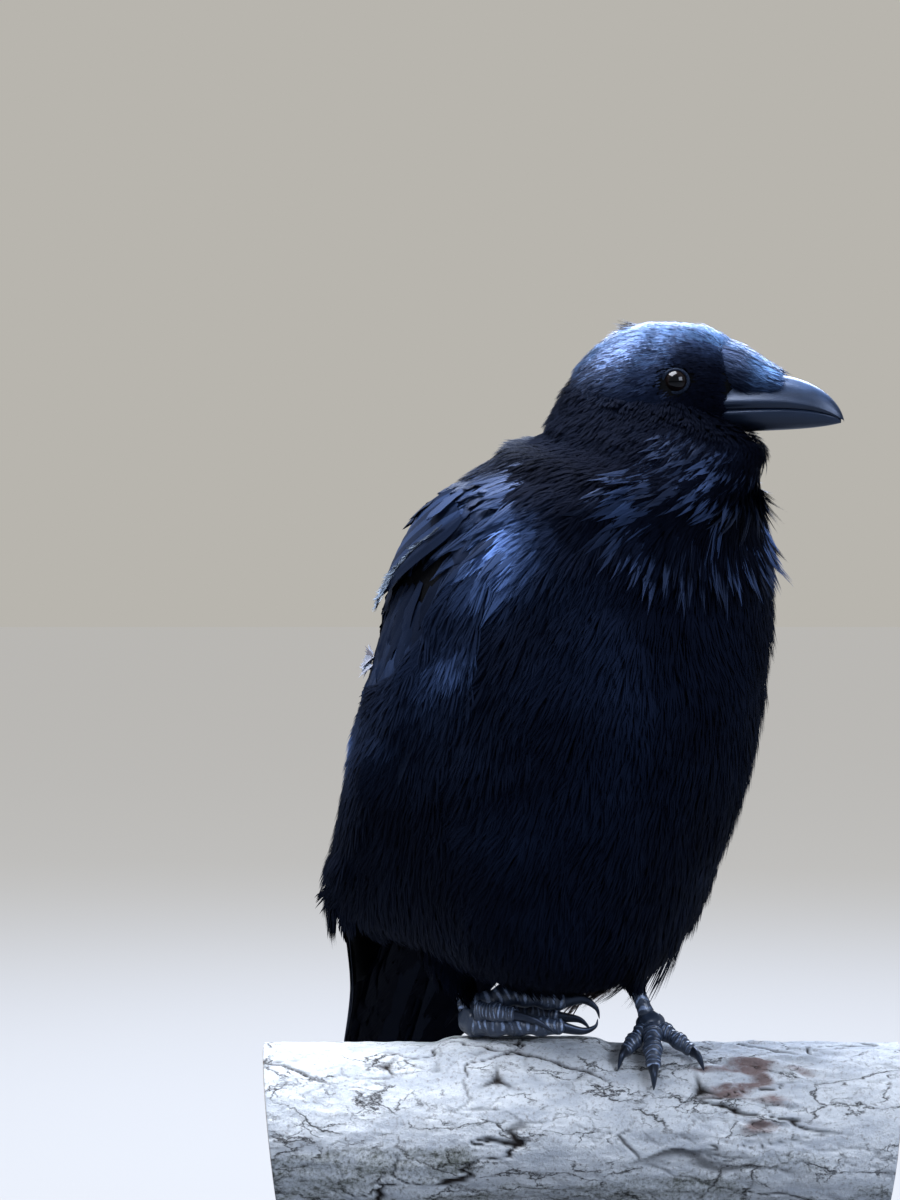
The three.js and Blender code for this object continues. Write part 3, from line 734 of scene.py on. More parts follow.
def lid_material():
    """Bare, slightly moist skin of the eyelids: slate grey, finely beaded."""
    material, add = new_material("Bare slate eyelid skin")
    place_of = add("TexCoord").outputs["Object"]
    beads = add("TexVoronoi", {"Vector": place_of, "Scale": 1500.0})
    base = add("Mix", {0: beads, 6: linear("#252d3c"), 7: linear("#0e1119")}, data_type="RGBA")
    bump = add("Bump", {"Height": beads, "Strength": 0.4, "Distance": 0.0003})
    finish_material(add, Base_Color=base, Roughness=0.5, IOR=1.4, Specular_IOR_Level=0.25,
                    Specular_Tint=linear(SKY_TINT), Normal=bump)
    return material


def horn_material(name, dark, light, roughness, coat):
    """Layered keratin horn, polished by use: slate to black, with faint lines of growth about a
    millimetre apart and fine scuffs that soften its shine. The base colour turns blue-grey where
    the piece's value of lightness and sheen is high: on the bill a painted highlight along the
    ridge and painted shade below, on the claws one even lightness."""
    material, add = new_material(name)
    place_of = add("TexCoord").outputs["Object"]
    turn = add("Mapping", {"Vector": place_of, "Rotation": (0, 0, -HEADING - HEAD_TURN)})
    squeeze = add("VectorMath", {0: turn, 1: (60.0, 260.0, 260.0)}, operation="MULTIPLY")
    layers = add("TexNoise", {"Vector": squeeze, "Scale": 1.0, "Detail": 4.0, "Roughness": 0.6})
    scuffs = add("TexNoise", {"Vector": place_of, "Scale": 900.0, "Detail": 3.0, "Roughness": 0.7})
    spread = add("MapRange",
                 {"Value": layers, "From Min": 0.35, "From Max": 0.68, "To Min": 0.0, "To Max": 1.0})
    lightness_and_sheen = add("Attribute", attribute_name="lightness_and_sheen").outputs["Fac"]
    lit = add("MapRange", {"Value": spread, "To Min": 0.45, "To Max": 1.0})
    grey = add("Math", {0: lit, 1: lightness_and_sheen}, operation="MULTIPLY")
    base = add("Mix", {0: grey, 6: dark, 7: light}, data_type="RGBA", clamp_factor=False)
    rough = add("MapRange", {"Value": scuffs, "To Min": roughness - 0.08, "To Max": roughness + 0.14})
    both = add("Math", {0: layers, 1: scuffs}, operation="ADD")
    bump = add("Bump", {"Height": both, "Strength": 0.22, "Distance": 0.0004})
    finish_material(add, Base_Color=base, Roughness=rough, IOR=KERATIN_IOR, Specular_IOR_Level=0.6,
                    Specular_Tint=linear(SKY_TINT), Coat_Weight=coat, Coat_Roughness=0.32, Normal=bump)
    return material


def eye_material(iris):
    """A wet cornea over a dark brown iris and a black pupil: deep colour under a sharp gloss."""
    material, add = new_material("Wet dark brown eye")
    ring = add("UVMap", uv_map="Iris")
    parts = add("SeparateXYZ", {0: ring})
    pupil = add("MapRange", {"Value": parts, "From Min": 0.15, "From Max": 0.165})
    white = add("MapRange", {"Value": parts, "From Min": 0.29, "From Max": 0.32})
    spokes = add("VectorMath", {0: ring, 1: (14.0, 60.0, 1.0)}, operation="MULTIPLY")
    fibres = add("TexNoise", {"Vector": spokes, "Scale": 1.0, "Detail": 3.0})
    streaked = add("Mix", {0: fibres, 6: linear("#120b08"), 7: iris}, data_type="RGBA")
    inner = add("Mix", {0: pupil, 6: linear("#020202"), 7: streaked}, data_type="RGBA")
    base = add("Mix", {0: white, 6: inner, 7: linear("#0d0b0b")}, data_type="RGBA")
    finish_material(add, Base_Color=base, Roughness=0.12, IOR=1.38, Specular_IOR_Level=0.3,
                    Coat_Weight=0.6, Coat_Roughness=0.03, Coat_IOR=1.36)
    return material


def scute_material(colour):
    """Horny scutes over dry skin: black, with pale blue-grey patches where the piece's value called
    edge is high, partly worn edges and partly painted highlights on the scutes' tops, and a
    satin finish."""
    material, add = new_material("Worn horny scutes")
    edge = add("Attribute", attribute_name="edge").outputs["Fac"]
    place_of = add("TexCoord").outputs["Object"]
    wear = add("TexNoise", {"Vector": place_of, "Scale": 230.0, "Detail": 5.0, "Roughness": 0.75})
    # Pale blue-grey where the edge value and the wear noise are high: partly wear, partly painted highlight.
    worn = add("Math", {0: edge, 1: wear}, operation="MULTIPLY")
    pale = add("MapRange", {"Value": worn, "From Min": 0.35, "From Max": 0.6, "To Max": 1.0})
    base = add("Mix", {0: pale, 6: colour, 7: linear("#9db0d2")}, data_type="RGBA")
    cells = add("TexVoronoi", {"Vector": place_of, "Scale": 700.0})
    bump = add("Bump", {"Height": cells, "Strength": 0.35, "Distance": 0.0004})
    finish_material(add, Base_Color=base, Roughness=0.4, IOR=1.52, Specular_IOR_Level=0.6,
                    Coat_Weight=0.25, Coat_Roughness=0.3, Normal=bump)
    return material


def bark_material(pale, shaded):
    """Weathered smooth bark: chalky grey plates, near-black in the cracks, red-brown where bark
    has torn off, green-black underneath, and ringed raw wood at the two cuts."""
    material, add = new_material("Weathered cracked bark")
    marks = {name: add("Attribute", attribute_name=name).outputs["Fac"]
             for name in ("crack", "torn", "green_below", "cut")}
    place_of = add("TexCoord").outputs["Object"]
    stretch = add("VectorMath", {0: place_of, 1: (34.0, 80.0, 80.0)}, operation="MULTIPLY")
    blotches = add("TexNoise", {"Vector": stretch, "Scale": 1.0, "Detail": 8.0, "Roughness": 0.66})
    grit = add("TexNoise", {"Vector": place_of, "Scale": 480.0, "Detail": 6.0, "Roughness": 0.75})
    bent = add("VectorMath", {0: blotches.outputs[1], 1: (0.022, 0.022, 0.022), 2: place_of},
               operation="MULTIPLY_ADD")
    splits = []
    for size, width, lowest in (((14.0, 34.0, 34.0), 0.02, 0.44), ((52.0, 120.0, 120.0), 0.04, 0.51)):
        scaled = add("VectorMath", {0: bent, 1: size}, operation="MULTIPLY")
        cells = add("TexVoronoi", {"Vector": scaled, "Scale": 1.0}, feature="DISTANCE_TO_EDGE")
        split = add("MapRange", {"Value": cells, "From Max": width, "To Min": 1.0, "To Max": 0.0})
        here = add("MapRange", {"Value": blotches, "From Min": lowest, "From Max": lowest + 0.1})
        splits.append(add("Math", {0: split, 1: here}, operation="MULTIPLY"))
    hair = add("Math", {0: splits[0], 1: splits[1]}, operation="MAXIMUM")
    gaps = add("Math", {0: hair, 1: marks["crack"]}, operation="MAXIMUM")
    chalk = add("MapRange", {"Value": blotches, "From Min": 0.38, "From Max": 0.56})
    specks = add("MapRange", {"Value": grit, "From Min": 0.53, "From Max": 0.66, "To Max": 0.6})
    spread = add("Math", {0: marks["torn"], 1: blotches}, operation="MULTIPLY")
    bared = add("MapRange", {"Value": spread, "From Min": 0.33, "From Max": 0.52, "To Max": 0.8})
    greening = add("Math", {0: marks["green_below"], 1: blotches}, operation="MULTIPLY")
    greening = add("Math", {0: greening, 1: grit}, operation="ADD")
    greened = add("MapRange", {"Value": greening, "From Min": 0.84, "From Max": 1.2, "To Max": 0.8})
    flat = add("Mapping", {"Vector": place_of, "Location": (0, 0, -LIMB_CENTRE * MM), "Scale": (0.02, 1, 1)})
    rings = add("TexWave", {"Vector": flat, "Scale": 95.0, "Distortion": 0.9, "Detail": 1.0,
                            "Detail Scale": 0.6}, wave_type="RINGS", rings_direction="X").outputs["Fac"]
    sawn = add("Mix", {0: rings, 6: linear("#a8917a"), 7: linear("#8b7560")}, data_type="RGBA")
    base = shaded
    for share, colour in ((chalk, pale), (specks, linear("#776f68")), (bared, linear("#6a463c")),
                          (greened, linear("#363d22")), (gaps, linear("#1d1613")), (marks["cut"], sawn)):
        base = add("Mix", {0: share, 6: base, 7: colour}, data_type="RGBA")
    relief = add("Math", {0: blotches, 1: grit}, operation="ADD")
    relief = add("Math", {0: relief, 1: gaps}, operation="SUBTRACT")
    bump = add("Bump", {"Height": relief, "Strength": 0.7, "Distance": 0.0016})
    finish_material(add, Base_Color=base, Roughness=0.86, IOR=1.5, Specular_IOR_Level=0.3, Normal=bump)
    return material


def board_material():
    """Sprayed lacquer on a fibreboard base: charcoal, satin, with a faint orange-peel."""
    material, add = new_material("Sprayed charcoal board")
    place_of = add("TexCoord").outputs["Object"]
    peel = add("TexNoise", {"Vector": place_of, "Scale": 380.0, "Detail": 2.0})
    base = add("Mix", {0: peel, 6: linear("#2a2927"), 7: linear("#34322f")}, data_type="RGBA")
    bump = add("Bump", {"Height": peel, "Strength": 0.1, "Distance": 0.0003})
    finish_material(add, Base_Color=base, Roughness=0.42, IOR=1.5, Normal=bump)
    return material


def steel_material():
    """Drawn and brushed steel rod: grey, with its brushing round the rod, drawn 0.7 mm apart."""
    material, add = new_material("Brushed steel rod")
    place_of = add("TexCoord").outputs["Object"]
    stretch = add("VectorMath", {0: place_of, 1: (60.0, 60.0, 1400.0)}, operation="MULTIPLY")
    brushing = add("TexNoise", {"Vector": stretch, "Scale": 1.0, "Detail": 3.0})
    rough = add("MapRange", {"Value": brushing, "To Min": 0.24, "To Max": 0.44})
    bump = add("Bump", {"Height": brushing, "Strength": 0.12, "Distance": 0.0002})
    finish_material(add, Base_Color=linear("#a9abae"), Metallic=1.0, Roughness=rough, Normal=bump)
    return material


def stage_material(colour):
    """A matt painted floor, pale and slightly uneven in tone. It glows a little to the camera
    alone, so that it stays pale to the horizon and throws no light up at the bird."""
    material, add = new_material("Pale matt floor paint")
    place_of = add("TexCoord").outputs["Object"]
    cloud = add("TexNoise", {"Vector": place_of, "Scale": 1.2, "Detail": 2.0})
    tone = add("MapRange", {"Value": cloud, "To Min": 0.0, "To Max": 0.12})
    base = add("Mix", {0: tone, 6: colour, 7: linear("#8a8780")}, data_type="RGBA")
    seen = add("LightPath")
    glow = add("Math", {0: seen.outputs["Is Camera Ray"], 1: 0.5}, operation="MULTIPLY")
    finish_material(add, Base_Color=base, Roughness=0.8, IOR=1.5, Specular_IOR_Level=0.0,
                    Emission_Color=linear("#f4f0e8"), Emission_Strength=glow)
    return material


# ---------------------------------------------------------------- settings


def colour_setting(name, description, hex_colour):
    """A colour that a user can change, with its default as sRGB hex."""
    return FloatVectorProperty(name=name, description=description, default=linear(hex_colour), size=4,
                               min=0.0, max=1.0, subtype="COLOR")


class RavenPlumage(bpy.types.PropertyGroup):
    """Sizes and colours of the feathers."""

    dark: colour_setting("Dark", "Colour of the plumage in its darkest feathers", "#020205")
    # The light and crown colours are the base colours where the sheen value is 1; where it is higher the
    # colour is brighter still, a painted sheen.
    light: colour_setting("Light", "Colour of the plumage where it is glossiest", "#1b253a")
    crown: colour_setting("Crown", "Colour of the crown where it is glossiest", "#2a3c55")
    gloss_and_sheen: colour_setting("Gloss", "Tint of the gloss on the plumage", "#9fbcff")
    soft_gloss: colour_setting("Soft gloss", "Tint of the gloss on loose feathers", "#a0b6ff")
    worn: colour_setting("Worn", "Colour of worn, sun-bleached barbs", "#6b4d35")
    down: colour_setting("Down", "Colour of the down that shows at the wing's edge", "#bfd2ea")
    density: FloatProperty(name="Density", description="Feathers for each one of the standard coat",
                           default=1.0, min=0.2, max=1.3, subtype="FACTOR")
    stretch: FloatProperty(name="Length", description="Length of the feathers, as a share of the standard",
                           default=1.0, min=0.6, max=1.4, subtype="FACTOR")


class RavenBareParts(bpy.types.PropertyGroup):
    """Colours of bill, eyes and feet."""

    horn_dark: colour_setting("Horn, dark", "Darkest colour of the bill", "#070a11")
    horn_light: colour_setting("Horn, light", "Lightest colour of the bill", "#4f6c9a")
    claw: colour_setting("Claw", "Lightest colour of the claws", "#23262b")
    iris: colour_setting("Iris", "Colour of the iris", "#120d0c")
    scute: colour_setting("Scute", "Colour of the scales of the feet", "#2d384a")
    scutes: IntProperty(name="Scutes", description="Scales along a toe's top", default=13, min=4, max=30)


class RavenLimb(bpy.types.PropertyGroup):
    """Colours and relief of the limb."""

    pale: colour_setting("Bark, pale", "Colour of the bleached bark", "#dfe2e4")
    shaded: colour_setting("Bark, shaded", "Colour of the darker blotches of bark", "#c0c5cb")
    crack: FloatProperty(name="Crack depth", description="Depth of the widest cracks",
                         default=1.8 * MM, min=0.0, max=0.005, unit="LENGTH")


class RavenStage(bpy.types.PropertyGroup):
    """Camera and light."""

    key: FloatProperty(name="Key light", description="Power of the soft light above, in watts",
                       default=76.0, min=0.0, max=500.0, subtype="POWER")
    rim: FloatProperty(name="Rim light", description="Power of the soft light above and behind, in watts",
                       default=44.0, min=0.0, max=500.0, subtype="POWER")
    fill: FloatProperty(name="Fill light", description="Power of the soft light beside the camera, in watts",
                        default=36.0, min=0.0, max=500.0, subtype="POWER")
    floor: colour_setting("Floor", "Colour of the floor", "#6e7278")
    distance: FloatProperty(name="Camera distance", description="Distance from the camera to the bird",
                            default=2.3, min=0.5, max=10.0, unit="LENGTH")


SETTINGS = {"raven_plumage": RavenPlumage, "raven_bare": RavenBareParts,
            "raven_limb": RavenLimb, "raven_stage": RavenStage}

# ---------------------------------------------------------------- pieces


def head_axes():
    """Forward, left and up of the turned head."""
    origin = turned(0, 0, 0, HEAD_TURN)
    forward = turned(1, 0, 0, HEAD_TURN) - origin
    left = turned(0, 1, 0, HEAD_TURN) - origin
    return forward, left, np.array([0.0, 0.0, 1.0])


def eye_axes(side):
    """Centre of an eye, the way it looks (a little forward and down), and its own two axes."""
    forward, left, up = head_axes()
    centre = turned(EYE_ALONG, side * (EYE_OUT - EYE_RADIUS), EYE_HEIGHT, HEAD_TURN)
    look = unit(side * left + 0.16 * forward - 0.04 * up)
    front = unit(forward - look * np.dot(forward, look))
    return centre, look, front, np.cross(look, front) * side


def eyelid(side):
    """A fleshy ring about the eye: a small circle carried round a larger one, thicker above,
    and beaded."""
    centre, look, front, rise = eye_axes(side)
    around = np.linspace(0, TURN, 96, endpoint=False)[:, None]
    tube = circle(14)
    beads = 0.10 * np.sin(26 * around) * np.maximum(0, np.cos(tube))
    thick = 0.85 + 0.3 * np.maximum(0, np.sin(around)) + beads
    reach = 6.25 + thick * np.cos(tube)
    out = 3.7 + 0.8 * thick * np.sin(tube)
    ring = (front * (np.cos(around) * 1.06)[..., None]
            + rise * (np.sin(around) * 0.96)[..., None]) * reach[..., None]
    points = centre + ring + look * out[..., None]
    rows, columns = points.shape[:2]
    quads = grid_faces(rows + 1, columns, closed=True) % (rows * columns)
    return outward((points.reshape(-1, 3), quads, np.zeros((0, 3), int)))


def shell_of(surface, rows, columns, span, grow_by):
    """A closed shell of a surface that goes once round."""
    u = np.linspace(*span, rows)[:, None]
    v = circle(columns)
    return outward(closed_shell(surface(u, v, grow_by)))


def wing_core(side):
    """The fleshy upper part of a folded wing: its lens, drawn in from the feathers' outside."""
    u = np.linspace(0.03, 0.78, 60)[:, None]
    turn = circle(40)
    w = 0.5 - 0.44 * np.cos(turn)
    surface = wing_surface(side)
    under, thick = 4.2, 8.0
    outer = surface(u, w, -under)
    inner = surface(u, w, -under - thick * np.sqrt(np.clip(w * (1 - w), 0, 1)))
    upper = (np.sin(turn) > 0)[..., None]
    return outward(closed_shell(np.where(upper, outer, inner)))


def tail_core():
    """The root of the tail, under its coverts."""
    u = np.linspace(0.0, 0.55, 30)[:, None]
    turn = circle(40)
    c = 0.86 * np.cos(turn)
    thick = np.abs(np.sin(turn)) * 0.8
    upper, under = (tail_surface(face, -2.6)(u, c, thick) for face in (1, -1))
    points = np.where((np.sin(turn) > 0)[..., None], upper, under)
    return outward(closed_shell(points))


class RAVEN_OT_skin(bpy.types.Operator):
    """Makes one seamless skin of trunk, neck, head, wings, tail root and thighs, with eyelids"""

    bl_idname = "raven.skin"
    bl_label = "Skin"

    VOXEL = 2.6

    def execute(self, context):
        shells = [
            shell_of(body_surface, 90, 96, (0.0, 0.97), -6.0),
            shell_of(head_surface, 60, 64, (0.0, 1.0), -1.9),
            shell_of(bristle_surface, 30, 40, (0.0, 0.94), -2.2),
            shell_of(thigh_surface("left"), 40, 32, (0.0, 0.97), -4.0),
            shell_of(thigh_surface("right"), 40, 32, (0.0, 0.97), -4.0),
            wing_core(1),
            wing_core(-1),
            tail_core(),
        ]
        rough = bpy.data.objects.new("rough_skin", make_mesh("rough_skin", *joined(shells)))
        context.scene.collection.objects.link(rough)
        remesh = rough.modifiers.new("One surface", "REMESH")
        remesh.mode = "VOXEL"
        remesh.voxel_size = self.VOXEL * MM
        smooth = rough.modifiers.new("Soften", "SMOOTH")
        smooth.factor = 0.5
        smooth.iterations = 8
        whole = bpy.data.meshes.new_from_object(rough.evaluated_get(context.evaluated_depsgraph_get()))
        points = np.empty(len(whole.vertices) * 3)
        whole.vertices.foreach_get("co", points)
        corners = np.empty(len(whole.loops), np.int32)
        whole.loops.foreach_get("vertex_index", corners)
        bpy.data.objects.remove(rough)
        bpy.data.meshes.remove(whole)
        body = (points.reshape(-1, 3) / MM, corners.reshape(-1, 4), np.zeros((0, 3), int))
        parts = joined([body, eyelid(1), eyelid(-1)])
        mesh = make_mesh("skin", *parts)
        kinds = np.zeros(len(mesh.polygons), np.int32)
        kinds[len(body[1]):] = 1
        place(mesh, skin_material(), "plumage", "trunk", "neck", "head", "thigh_left", "thigh_right")
        mesh.materials.append(lid_material())
        mesh.polygons.foreach_set("material_index", kinds)
        return {"FINISHED"}


def plumage_materials(context):
    """The plumage's finishes, each made once: loose, glossy, stiff and sleek."""
    look = context.scene.raven_plumage
    finishes = {
        "Loose body barbs": (look.light, look.soft_gloss, 0.52, 0.07, 60.0, 0.2),
        "Close glossy vanes": (look.light, look.gloss_and_sheen, 0.40, 0.34, 150.0),
        "Stiff flight vanes": (look.light, look.gloss_and_sheen, 0.42, 0.10, 420.0),
        "Sleek crown vanes": (look.crown, look.gloss_and_sheen, 0.36, 1.0, 30.0),
    }
    kept = bpy.data.materials
    return [kept.get(name) or feather_material(name, look.dark, *finish)
            for name, finish in finishes.items()]


BODY_PITCH = ([0, 0.35, 0.5, 0.62, 0.75, 1], [6.0, 5.4, 4.7, 3.7, 3.0, 2.7])
BODY_LENGTH = ([0, 0.08, 0.16, 0.3, 0.45, 0.55, 0.65, 0.8, 1], [18, 24, 32, 34, 30, 25, 18, 12, 9])
BODY_DEPTH = ([0, 0.5, 0.65, 0.8, 1], [6, 6, 4, 3, 2])


def body_coat_surface(u, v, grow_by=0.0):
    """The surface that the body's feathers grow from, inside the outline by the coat's depth."""
    return body_surface(u, v, grow_by - np.interp(u, *BODY_DEPTH))


def signed_angle(v):
    """An angle as -pi to pi, so that it is negative on the bird's right."""
    return (v + math.pi) % TURN - math.pi


def shoulder_sheen(places):
    """A painted highlight added to the feathers' sheen value: a bright patch before each shoulder, stronger
    on the right.
    """
    sheen, radius = np.zeros(len(places)), 17
    for side, strength in ((1, 5.0), (-1, 15.0)):
        off = np.linalg.norm(places - body_surface(0.452, side * math.radians(79)), axis=-1)
        sheen = sheen + strength * bell(off / radius)
    return sheen


class RAVEN_OT_body_feathers(bpy.types.Operator):
    """Covers trunk and neck with loose contour feathers"""

    bl_idname = "raven.body_feathers"
    bl_label = "Body feathers"

    def execute(self, context):
        rng = np.random.default_rng(11)
        look = context.scene.raven_plumage
        loose = plumage_materials(context)[0]
        pitch = (BODY_PITCH[0], np.array(BODY_PITCH[1]) / math.sqrt(look.density))
        u, v, _ = staggered_rows(body_coat_surface, (0.015, 0.95), pitch, rng)
        u = np.clip(u, 0.01, 0.97)
        angle = signed_angle(v)
        start = body_coat_surface(u, v)
        sweep = 0.42 * np.sin(angle) * np.interp(u, [0, 0.2, 0.5, 0.6], [0.3, 0.8, 1.0, 0.2])
        lean = sweep + 0.16 * ripples(start, 42, 21) + rng.normal(0, 0.07, len(u))
        behind = ramp(np.abs(angle) - 1.9, 0.8) * ramp(0.3 - u, 0.2)
        tailward = standing(-1.0, 0.0, 0.0) - standing(0.0, 0.0, 0.0)
        shoulder = ramp(u - 0.36, 0.1) * ramp(0.62 - u, 0.08)
        down = np.array([0, 0, -1.0])
        pull = behind[:, None] * (tailward * 0.9 + down * 0.6) + shoulder[:, None] * down * 0.8
        roots = frames_at(body_coat_surface, u, v, way=-1, lean=lean, pull=pull)
        depth = np.interp(u, *BODY_DEPTH)
        seam = np.interp(u, [0.2, 0.31, 0.4], [-0.09, -0.31, -0.38])
        before = ramp(seam - angle, 0.5)
        ledge = np.where(angle < seam, np.exp(-before * 5), 0)
        ledge = ledge * np.interp(u, [0.12, 0.2, 0.4, 0.46], [0, 1, 1, 0])
        rise = depth * 0.9 + 1.1 * ripples(start, 30, 22) + rng.exponential(0.5, len(u)) + 2.6 * ledge
        behind_neck = ramp(np.abs(angle) - 1.0, 0.4) * ramp(u - 0.38, 0.06)
        rise = rise * (1 - 0.55 * behind_neck * ramp(0.72 - u, 0.08))
        length = np.interp(u, *BODY_LENGTH) * rng.uniform(0.85, 1.12, len(u)) * look.stretch
        hang = np.interp(u, [0, 0.05, 0.14], [0.08, 0.08, 0.0]) * rng.uniform(0.5, 1.5, len(u))
        ragged = (rng.random(len(u)) < 0.1) & (u < 0.2) & (angle > 0.1) & (angle < 1.2)
        length = np.where(ragged, length * 1.3, length)
        rise = rise + 2.5 * ragged
        hang = hang + 0.22 * ragged + 0.16 * ((u < 0.1) & (angle < -0.9) & (angle > -1.6))
        rear = ramp(np.abs(angle) - 1.7, 0.6)
        # Sheen value: partly real, the belly duller and the upper parts glossier, and partly painted:
        # painted shade on one side of the breast's parting and a painted highlight before the shoulders.
        gloss_and_sheen = np.interp(u, [0.08, 0.2, 0.36, 0.46, 0.53, 0.6, 0.8],
                          [0.04, 0.22, 0.42, 0.36, 0.16, 0.1, 0.12])
        gloss_and_sheen = np.where(rear > 0, gloss_and_sheen * (1 - rear) + 0.3 * rear, gloss_and_sheen)
        gloss_and_sheen = gloss_and_sheen * np.interp(angle - seam, [-0.05, 0.05], [1.0, 0.6])
        gloss_and_sheen = gloss_and_sheen + shoulder_sheen(start + roots["ahead"] * 0.6 * length[:, None])
        gloss_and_sheen = gloss_and_sheen * (1 + 0.25 * ripples(start, 55, 25))
        shapes = [loose_feather(rng, pairs=9, half=0.18, strand=0.017) for _ in range(9)]
        width = np.interp(u, [0, 0.5, 0.7, 1], [1.0, 1.0, 1.05, 1.1])
        flank, back = 1.15, 2.3
        regions = {
            "right_breast_feathers": (angle < 0) & (angle > -flank),
            "left_breast_feathers": (angle >= 0) & (angle < flank),
            "right_flank_feathers": (angle <= -flank) & (angle > -back),
            "left_flank_feathers": (angle >= flank) & (angle < back),
            "right_back_feathers": angle <= -back,
            "left_back_feathers": angle >= back,
        }
        for name, mine in regions.items():
            feathers = grow(unwrapped(picked(roots, mine)), shapes, length[mine], rng, width=width[mine],
                            sink=1.0, rise=rise[mine], roll=0.09, hang=hang[mine], gloss_and_sheen=gloss_and_sheen[mine])
            place_feathers(name, feathers, loose)
        return {"FINISHED"}


def strand_tuft(rng, strands, spread, width):
    """A tuft of fine tapering strands that fan out a little from one root."""
    ends = spread * np.linspace(-1, 1, strands) + 0.05 * rng.normal(size=strands)
    tips = rng.uniform(0.78, 1.05, strands)
    along = tips[:, None] * STRAND
    across = ends[:, None] * (0.25 + 0.75 * STRAND ** 1.3)
    half = width * np.array([0.8, 1.0, 0.7, 0.0]) * rng.uniform(0.8, 1.2, (strands, 1))
    flat = strand_points(np.stack([along, across + half], -1), np.stack([along, across - half], -1))
    height = 0.02 * rng.normal(size=(strands, 1)) + 0.01 * np.arange(strands)[:, None]
    height = height - 0.3 * flat[..., 1] ** 2
    return flat[..., 0].ravel(), flat[..., 1].ravel(), height.ravel(), strand_faces(strands)


HEAD_PITCH = ([0, 0.4, 0.7, 1], [2.1, 1.8, 1.45, 1.35])
HEAD_LENGTH = ([0, 0.4, 0.7, 0.9, 1], [13, 10.5, 7.0, 5.0, 4.5])
HEAD_DEPTH = ([0, 0.5, 1], [1.9, 1.5, 1.2])


def head_coat_surface(u, v, grow_by=0.0):
    """The surface that the head's feathers grow from."""
    return head_surface(u, v, grow_by - np.interp(u, *HEAD_DEPTH))


